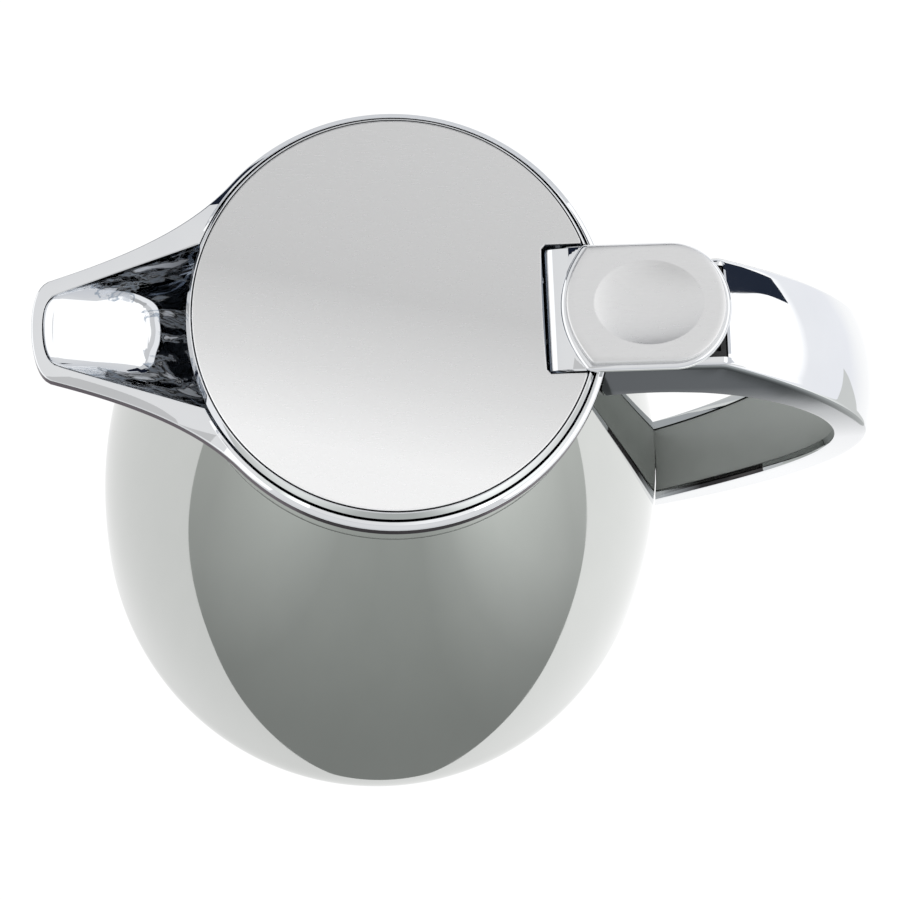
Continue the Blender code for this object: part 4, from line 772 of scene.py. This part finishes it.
# %% Lever frame
frame_top = pad_low.z - AIR
frame_under = frame_top - 2.0
levels = [(0.5, frame_under), (0.0, frame_under + 0.4), (0.0, frame_top - 0.9), (0.08, frame_top - 0.6),
          (0.28, frame_top - 0.3), (0.6, frame_top - 0.08), (1.0, frame_top)]
rows = [plan_row(frame_plan, inset, z) for inset, z in levels]
lever = as_object("lever_casting", skin(rows, False, caps=True))
pin_low, pin_high = node_box("lever_pin")
pivot_x = 0.5 * (pin_low.x + pin_high.x)
pivot_z = 0.5 * (pin_low.z + pin_high.z)
boss = 3.6
neck_half = CUT_HALF - 0.55
under_pin = np.radians(np.linspace(180, 350, 24))
outline = [(pivot_x + boss * math.cos(a), pivot_z + boss * math.sin(a)) for a in under_pin]
near_x = CUT_START + 0.6
outline += [(pivot_x + boss + 2.0, frame_under + 0.4), (pivot_x + 7.0, frame_top - 0.4)]
outline += [tuple(p) for p in curve([(pivot_x + 4.5, frame_top - 0.45), (pivot_x + 1.5, frame_top - 0.6),
                                     (near_x + 1.3, frame_top - 1.2), (near_x + 0.3, frame_top - 2.2)], 14)]
outline += [(near_x + 0.08, frame_top - 2.6), (near_x, frame_top - 3.2), (near_x, frame_top - 5.0)]
shape_by(lever, side_slab("neck", outline, neck_half, 0.45), "UNION")
arm_top = node_box("lift_head")[0].z - 0.8
arm_low = arm_top - 2.6
tip = lever_low.x
arm = [(tip, arm_low), (12.0, arm_low), (pivot_x - 1.0, pivot_z - 2.6), (pivot_x - 1.0, pivot_z + 0.6),
       (pivot_x - 5.0, pivot_z - 0.6), (12.0, arm_top), (tip, arm_top)]
shape_by(lever, side_slab("arm", arm, 5.0, 0.3), "UNION")
shape_by(lever, block("fork", (tip - 4.0, -2.5, arm_low - 3.0), (3.2, 2.5, arm_top + 3.0)), "DIFFERENCE")
complete(lever, [chrome], "lever", ["lever_frame"], crease=40.0)


# %% [markdown]
# ## Handle
# The handle is a chrome channel bent from the collar over and down to the belly, with a polished liner in
# its open side. Near the lid the channel's top is cut away, which leaves two rails with a black pocket
# between them for the lever. It is swept along two lines, one for its outside and one for its grip side, so
# that its depth can change from the deep root to the slim foot. The pocket and the seat on the jug are then
# cut with Booleans.

# %% Handle lines
STRAP_TOP = LID_TOP - 6.5
STRAP_START = lever_high.x - 0.8
STRAP_CROWN = 1.7
STRAP_REACH = 118.46
BEND_HEIGHT = LID_TOP - 78.0
GRIP_REACH = STRAP_REACH - 8.7
ROOT_HEIGHT = LID_TOP - 32.0
FOOT_OUTER = LID_TOP - 158.5
FOOT_INNER = FOOT_OUTER + 8.9
RAIL_HALF = lever_high.y - 2.0
WIDEST_HALF = 14.2
FOOT_HALF = 10.5
LAST = 24.0
# How much of the grip's upper curve is passed at each whole station, so that the two lines keep pace.
GRIP_SHARE = np.array([0, 4, 8, 13, 16, 20, 25, 29, 34, 38, 42, 47, 51, 56, 60]) / 60.0


def outside_line(u):
    """A point of the handle's outer edge line, at a station from 0 at the collar to 24 at the foot."""
    fall = STRAP_TOP - BEND_HEIGHT
    foot = np.array([body_radius(FOOT_OUTER) + 0.9, FOOT_OUTER])
    drop = BEND_HEIGHT - FOOT_OUTER
    if u <= 3.0:
        root = COLLAR_RADIUS - 5.0
        return np.array([root + (STRAP_START - 1.4 - root) * u / 3.0, STRAP_TOP])
    if u <= 4.0:
        s = u - 3.0
        return np.array([STRAP_START - 1.4 + 1.4 * s, STRAP_TOP - 0.5 * s * s])
    if u <= 14.0:
        crown = [(STRAP_START, STRAP_TOP - 0.5), (STRAP_START + 21.0, STRAP_TOP - 0.29 * fall),
                 (STRAP_REACH, BEND_HEIGHT + 0.35 * fall), (STRAP_REACH, BEND_HEIGHT)]
        return on_curve(crown, (u - 4.0) / 10.0)
    if u <= 23.0:
        return on_curve([(STRAP_REACH, BEND_HEIGHT), (STRAP_REACH + 1.0, BEND_HEIGHT - 0.36 * drop),
                         foot + (25.0, 17.0), foot], (u - 14.0) / 9.0)
    return foot + (u - 23.0) * np.array([-7.0, -4.6])


def grip_line(u):
    rise = ROOT_HEIGHT - BEND_HEIGHT
    root = COLLAR_RADIUS - 2.5
    foot = np.array([body_radius(FOOT_INNER) + 0.2, FOOT_INNER])
    fall = BEND_HEIGHT - FOOT_INNER
    if u <= 14.0:
        t = float(np.interp(u, np.arange(15), GRIP_SHARE))
        return on_curve([(root, ROOT_HEIGHT), (root + 36.0, ROOT_HEIGHT + 10.0),
                         (GRIP_REACH, BEND_HEIGHT + 0.61 * rise), (GRIP_REACH, BEND_HEIGHT)], t)
    if u <= 23.0:
        return on_curve([(GRIP_REACH, BEND_HEIGHT), (GRIP_REACH, BEND_HEIGHT - 0.31 * fall),
                         foot + (21.3, 21.6), foot], (u - 14.0) / 9.0)
    return foot + (u - 23.0) * np.array([-6.0, -6.0])


def handle_half(share):
    if share < 0.4:
        return RAIL_HALF + (WIDEST_HALF - RAIL_HALF) * ease(0.08, 0.36, share)
    return WIDEST_HALF + (FOOT_HALF - WIDEST_HALF) * ease(0.4, 1.0, share)


stations = np.concatenate([np.linspace(0.0, 4.0, 17)[:-1], np.linspace(4.0, LAST, 161)])
line = np.array([outside_line(u) for u in stations])
lengths = np.concatenate([[0.0], np.cumsum(np.linalg.norm(np.diff(line, axis=0), axis=1))])
print(f"handle is {lengths[-1]:.0f} mm long on its outside")


# %% Sweeping a section down the handle
def sweep(name, section):
    rows = []
    for u, length in zip(stations, lengths):
        out, grip = outside_line(u), grip_line(u)
        depth = float(np.linalg.norm(grip - out))
        inward = (grip - out) / depth
        share = length / lengths[-1]
        row = []
        for side, below in section(handle_half(share), depth, share):
            spot = out + inward * below
            row.append((spot[0], side, spot[1]))
        rows.append(row)
    return as_object(name, skin(rows, False, caps=True))


STRAP_WALL = 2.2
STRAP_DRAFT = 0.15  # how far the flanks lean in, so that the casting leaves its mould


def channel_section(half, depth, share):
    crown = 0.4 + (STRAP_CROWN - 0.4) * ease(0.2, 0.4, share)
    brow = half - STRAP_DRAFT
    flank = brow - 1.3
    shoulder = curve([(brow, 2.9), (brow, 1.4), (brow - 0.25, 0.35), (flank, 0.15)], 9)
    top = [(flank * s, 0.15 - (crown + 0.15) * (1.0 - abs(s) ** 2.2)) for s in np.linspace(1.0, 0.0, 14)[1:]]
    right = [(half - STRAP_WALL, depth), (half - 0.7, depth), (half - 0.15, depth - 0.2), (half, depth - 0.8),
             (half, depth - 1.1), (brow, 3.4)]
    right += [tuple(p) for p in shoulder] + top
    left = [(-side, below) for side, below in right[:-1][::-1]]
    return right + left + [(STRAP_WALL - half, STRAP_WALL), (half - STRAP_WALL, STRAP_WALL)]


def liner_section(half, depth, share):
    side = half - STRAP_WALL - AIR
    near, far = depth - 0.5, depth - 2.5
    face = [(side * s, near + 0.25 * (1.0 - s * s)) for s in np.linspace(1.0, -1.0, 15)]
    return [(side, far)] + face + [(-side, far)]


def jug_cutter(name):
    """A turned solid as wide as the jug plus a gap."""
    profile = [(0.0, LID_TOP + 20.0)]
    for z in np.linspace(LID_TOP + 20.0, 20.0, 160):
        least = COLLAR_RADIUS + 0.35 if z > ROOT_HEIGHT - 20.0 else 0.0
        profile.append((max(least, body_radius(z) + 0.35), z))
    profile.append((0.0, 20.0))
    return as_object(name, turn(profile, 256, on_axis=True))


strap = sweep("handle_channel", channel_section)
shape_by(strap, jug_cutter("jug_space"), "DIFFERENCE")
pocket_floor = node_box("pocket_liner")[0].z
pocket = block("pocket", (COLLAR_RADIUS - 12.0, STRAP_WALL - RAIL_HALF, pocket_floor),
               (STRAP_START, RAIL_HALF - STRAP_WALL, LID_TOP + 8.0))
shape_by(strap, pocket, "DIFFERENCE")
complete(strap, [chrome, flank_chrome_painted_falloff, lower_lip_painted_dark_chrome], "jug", ["handle_strap"], crease=32.0)
FLANK, LOWER_LIP = 1, 2
for face in strap.data.polygons:
    spot = face.center / MM
    outward = face.normal.y * (1.0 if spot.y > 0 else -1.0)
    # Outward flank faces get the painted reflection that darkens towards the top.
    if outward > 0.8 and abs(spot.y) > FOOT_HALF - 2.0:
        face.material_index = FLANK
    # The lower lip's inward faces get the painted dark reflection.
    if face.normal.x < -0.6 and spot.y < 0.0 and spot.x > DARK_EDGE_START and spot.z < FLANK_LOW:
        face.material_index = LOWER_LIP
liner = sweep("grip_liner", liner_section)
shape_by(liner, jug_cutter("jug_space"), "DIFFERENCE")
complete(liner, [grip_steel], "jug", ["handle_inner_shell"], crease=32.0)


# %% [markdown]
# ## Pieces kept from the CAD model
# Screws, the pin, the valve and the plastic cores already have their true shape. They keep their CAD mesh
# and get a finish that suits what they are made of.

# %% Finishes for kept pieces
kept = {
    black_plastic: ["handle_core", "pocket_liner"],
    lid_gloss: ["lid_body"],
    grey_plastic: ["spring_retainer", "valve_plug", "lift_head"],
    silicone: ["flask_support", "neck_gasket", "stopper_gasket", "valve_seal"],
    fastener_steel: ["handle_neck_screw_front", "handle_neck_screw_back", "handle_foot_screw", "valve_spring",
                     "valve_stem", "lever_pin"],
    silvered_glass: ["vacuum_flask"],
}
for finish, names in kept.items():
    for name in names:
        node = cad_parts[name]
        node.data.materials.clear()
        node.data.materials.append(finish)
    print(finish.name, "on", ", ".join(names))


# %% [markdown]
# ## Table and surroundings
# A mirror has no colour of its own: it shows the room. The jug stands on a white lit table that ends just
# in front of it, so the front of the jacket shows the darker ground beyond the edge, with the table's light
# on each side. Those surroundings are panels that only reflections see. A dark panel behind gives the
# chrome its blue-black marks.

# %% Floor
def glow(name, colour, strength):
    made = bpy.data.materials.new(name)
    made.use_nodes = True
    nodes, links = made.node_tree.nodes, made.node_tree.links
    nodes.clear()
    light = nodes.new("ShaderNodeEmission")
    light.inputs["Color"].default_value = (*colour, 1.0)
    light.inputs["Strength"].default_value = strength
    end = nodes.new("ShaderNodeOutputMaterial")
    links.new(light.outputs["Emission"], end.inputs["Surface"])
    return made


FLOOR_HALF = 6000.0
rows = [[(-FLOOR_HALF, y, 0.0), (FLOOR_HALF, y, 0.0)] for y in (-FLOOR_HALF, FLOOR_HALF)]
floor = as_object("table", skin(rows, False, wrap_points=False))
table_white = new_finish("table_white", grey(0.06), 0.0, 0.8, Emission_Color=(1.0, 1.0, 1.0, 1.0),
                         Emission_Strength=0.97)
floor.data.materials.append(table_white)


def only_in_reflections(made):
    made.visible_camera = False
    made.visible_diffuse = False
    made.visible_shadow = False


def panel(name, corners, finish):
    made = as_object(name, skin([corners[:2], [corners[3], corners[2]]], False, wrap_points=False))
    made.data.materials.append(finish)
    only_in_reflections(made)


TABLE_EDGE = -(BELLY_RADIUS + 5.5)
NEAR_GROUND_END = -500.0
ground = glow("dim_ground", (0.27, 0.282, 0.273), 1.0)
nodes, links = ground.node_tree.nodes, ground.node_tree.links
blend_colours(ground, along_axis(ground, "Y", TABLE_EDGE, NEAR_GROUND_END),
              [(0.0, grey(1.02)), (0.44, grey(1.75)), (0.80, grey(1.75)), (1.0, grey(3.6))], "Strength")
blend_colours(ground, along_axis(ground, "X", -200.0, 200.0),
              [(0.0, (0.52, 0.535, 0.52)), (0.14, (0.43, 0.445, 0.433)), (0.3, (0.30, 0.312, 0.303)),
               (0.45, (0.27, 0.282, 0.273)), (0.6, (0.275, 0.287, 0.278)), (0.7, (0.35, 0.363, 0.353)),
               (0.84, (0.56, 0.575, 0.562)), (1.0, (0.72, 0.735, 0.72))], "Color")
edge = curve([(-420, 60), (-190, -25), (-150, TABLE_EDGE), (-80, TABLE_EDGE)], 20)
edge = [*edge, *curve([(80, TABLE_EDGE), (150, TABLE_EDGE), (190, -30), (420, 60)], 20)]


def sheet(name, near, far, finish, height=0.5):
    """A flat panel lying on the table between two lines of (x, y) points, seen only in reflections."""
    made = as_object(name, skin([[(x, y, height) for x, y in near], [(x, y, height) for x, y in far]], False,
                                wrap_points=False))
    made.data.materials.append(finish)
    only_in_reflections(made)


sheet("ground_beyond_the_table", edge, [(x, NEAR_GROUND_END) for x, y in edge], ground)
far_grey = glow("far_grey", grey(0.68), 1.0)
blend_colours(far_grey, along_axis(far_grey, "Y", -600.0, -1300.0), [(0.0, grey(0.98)), (1.0, grey(0.68))],
              "Color")
sheet("far_ground", [(-3000, -600), (3000, -600)], [(-3000, -6000), (3000, -6000)], far_grey)
table_tone = glow("table_tone", grey(1.0), 1.0)
blend_colours(table_tone, along_axis(table_tone, "X", -200.0, 1000.0),
              [(0.0, grey(0.95)), (0.15, grey(0.95)), (0.26, grey(1.16)), (0.38, grey(1.14)),
               (0.46, (1.03, 1.04, 1.08)), (0.80, (1.05, 1.06, 1.09)), (0.90, grey(1.4)), (1.0, grey(1.4))],
              "Color")
sheet("table_light", [(-900, 6000), (6000, 6000)], [(-900, -3000), (6000, -3000)], table_tone, 0.3)
sheet("dark_corner", [(850, 275), (850, 300)], [(6000, 1850), (6000, 6000)],
      glow("navy", (0.02, 0.027, 0.045), 1.0), 0.8)
panel("dark_wall_behind", [(-700, 420, 420), (180, 420, 420), (180, 420, 700), (-700, 420, 700)],
      glow("navy_dark", (0.012, 0.016, 0.03), 1.0))
panel("soft_light_left", [(-520, -400, 330), (-520, 400, 330), (-420, 400, 1000), (-420, -400, 1000)],
      glow("soft_white_left", (1.0, 1.0, 1.0), 1.35))
panel("soft_light_right", [(520, -500, 420), (520, 500, 420), (420, 500, 1000), (420, -500, 1000)],
      glow("soft_white", (1.0, 1.0, 1.0), 1.35))
panel("shade_round_the_lens", [(-260, -360, 1000), (110, -360, 1000), (110, 30, 1000), (-260, 30, 1000)],
      glow("lens_shade", grey(0.66), 1.0))
print(f"table edge at y = {TABLE_EDGE:.0f} mm")


# %% [markdown]
# ## Sky
# Whatever a panel doesn't cover mirrors the sky. It is a plain dome that is a little brighter overhead,
# like a white tent round a product, and one made from lamps would leave gaps that show in the chrome.

# %% Sky
world = bpy.data.worlds.new("studio")
bpy.context.scene.world = world
world.use_nodes = True
nodes, links = world.node_tree.nodes, world.node_tree.links
place = nodes.new("ShaderNodeTexCoord")
split = nodes.new("ShaderNodeSeparateXYZ")
ramp = nodes.new("ShaderNodeValToRGB")
ramp.color_ramp.elements[0].position = 0.0
ramp.color_ramp.elements[0].color = (0.72, 0.74, 0.78, 1.0)
ramp.color_ramp.elements[1].position = 1.0
ramp.color_ramp.elements[1].color = (0.93, 0.93, 0.93, 1.0)
links.new(place.outputs["Generated"], split.inputs["Vector"])
links.new(split.outputs["Z"], ramp.inputs["Fac"])
links.new(ramp.outputs["Color"], nodes["Background"].inputs["Color"])
nodes["Background"].inputs["Strength"].default_value = 1.0
bpy.context.scene.view_settings.view_transform = "Standard"
print("sky:", world.name)


# %% [markdown]
# ## Camera
# A long lens from almost straight above, a little to the left and rolled slightly, flattens the jug and
# shows its lid, its handle and its spout at once.

# %% Camera
AZIMUTH = -10.19
ELEVATION = 75.69
ROLL = 7.98
DISTANCE = 1.2376
TARGET = Vector((0.01519, -0.01234, 0.1556))
turn_z = Matrix.Rotation(math.radians(AZIMUTH), 4, "Z")
tilt_x = Matrix.Rotation(math.radians(90.0 - ELEVATION), 4, "X")
roll_z = Matrix.Rotation(math.radians(ROLL), 4, "Z")
lens = bpy.data.cameras.new("long_lens")
lens.lens = 200.0
lens.sensor_width = 36.0
camera = bpy.data.objects.new("camera", lens)
bpy.context.scene.collection.objects.link(camera)
back_off = Matrix.Translation((0, 0, DISTANCE))
camera.matrix_world = Matrix.Translation(TARGET) @ turn_z @ tilt_x @ back_off @ roll_z
bpy.context.scene.camera = camera
print("camera at", [round(x, 4) for x in camera.matrix_world.translation])


# %% [markdown]
# ## Sizes
# A finer mesh can creep past the solid it stands for. Each piece's size is printed as it is finished, and
# the last step brings the scene up to date.

# %% Sizes, and finish
bpy.context.view_layer.update()
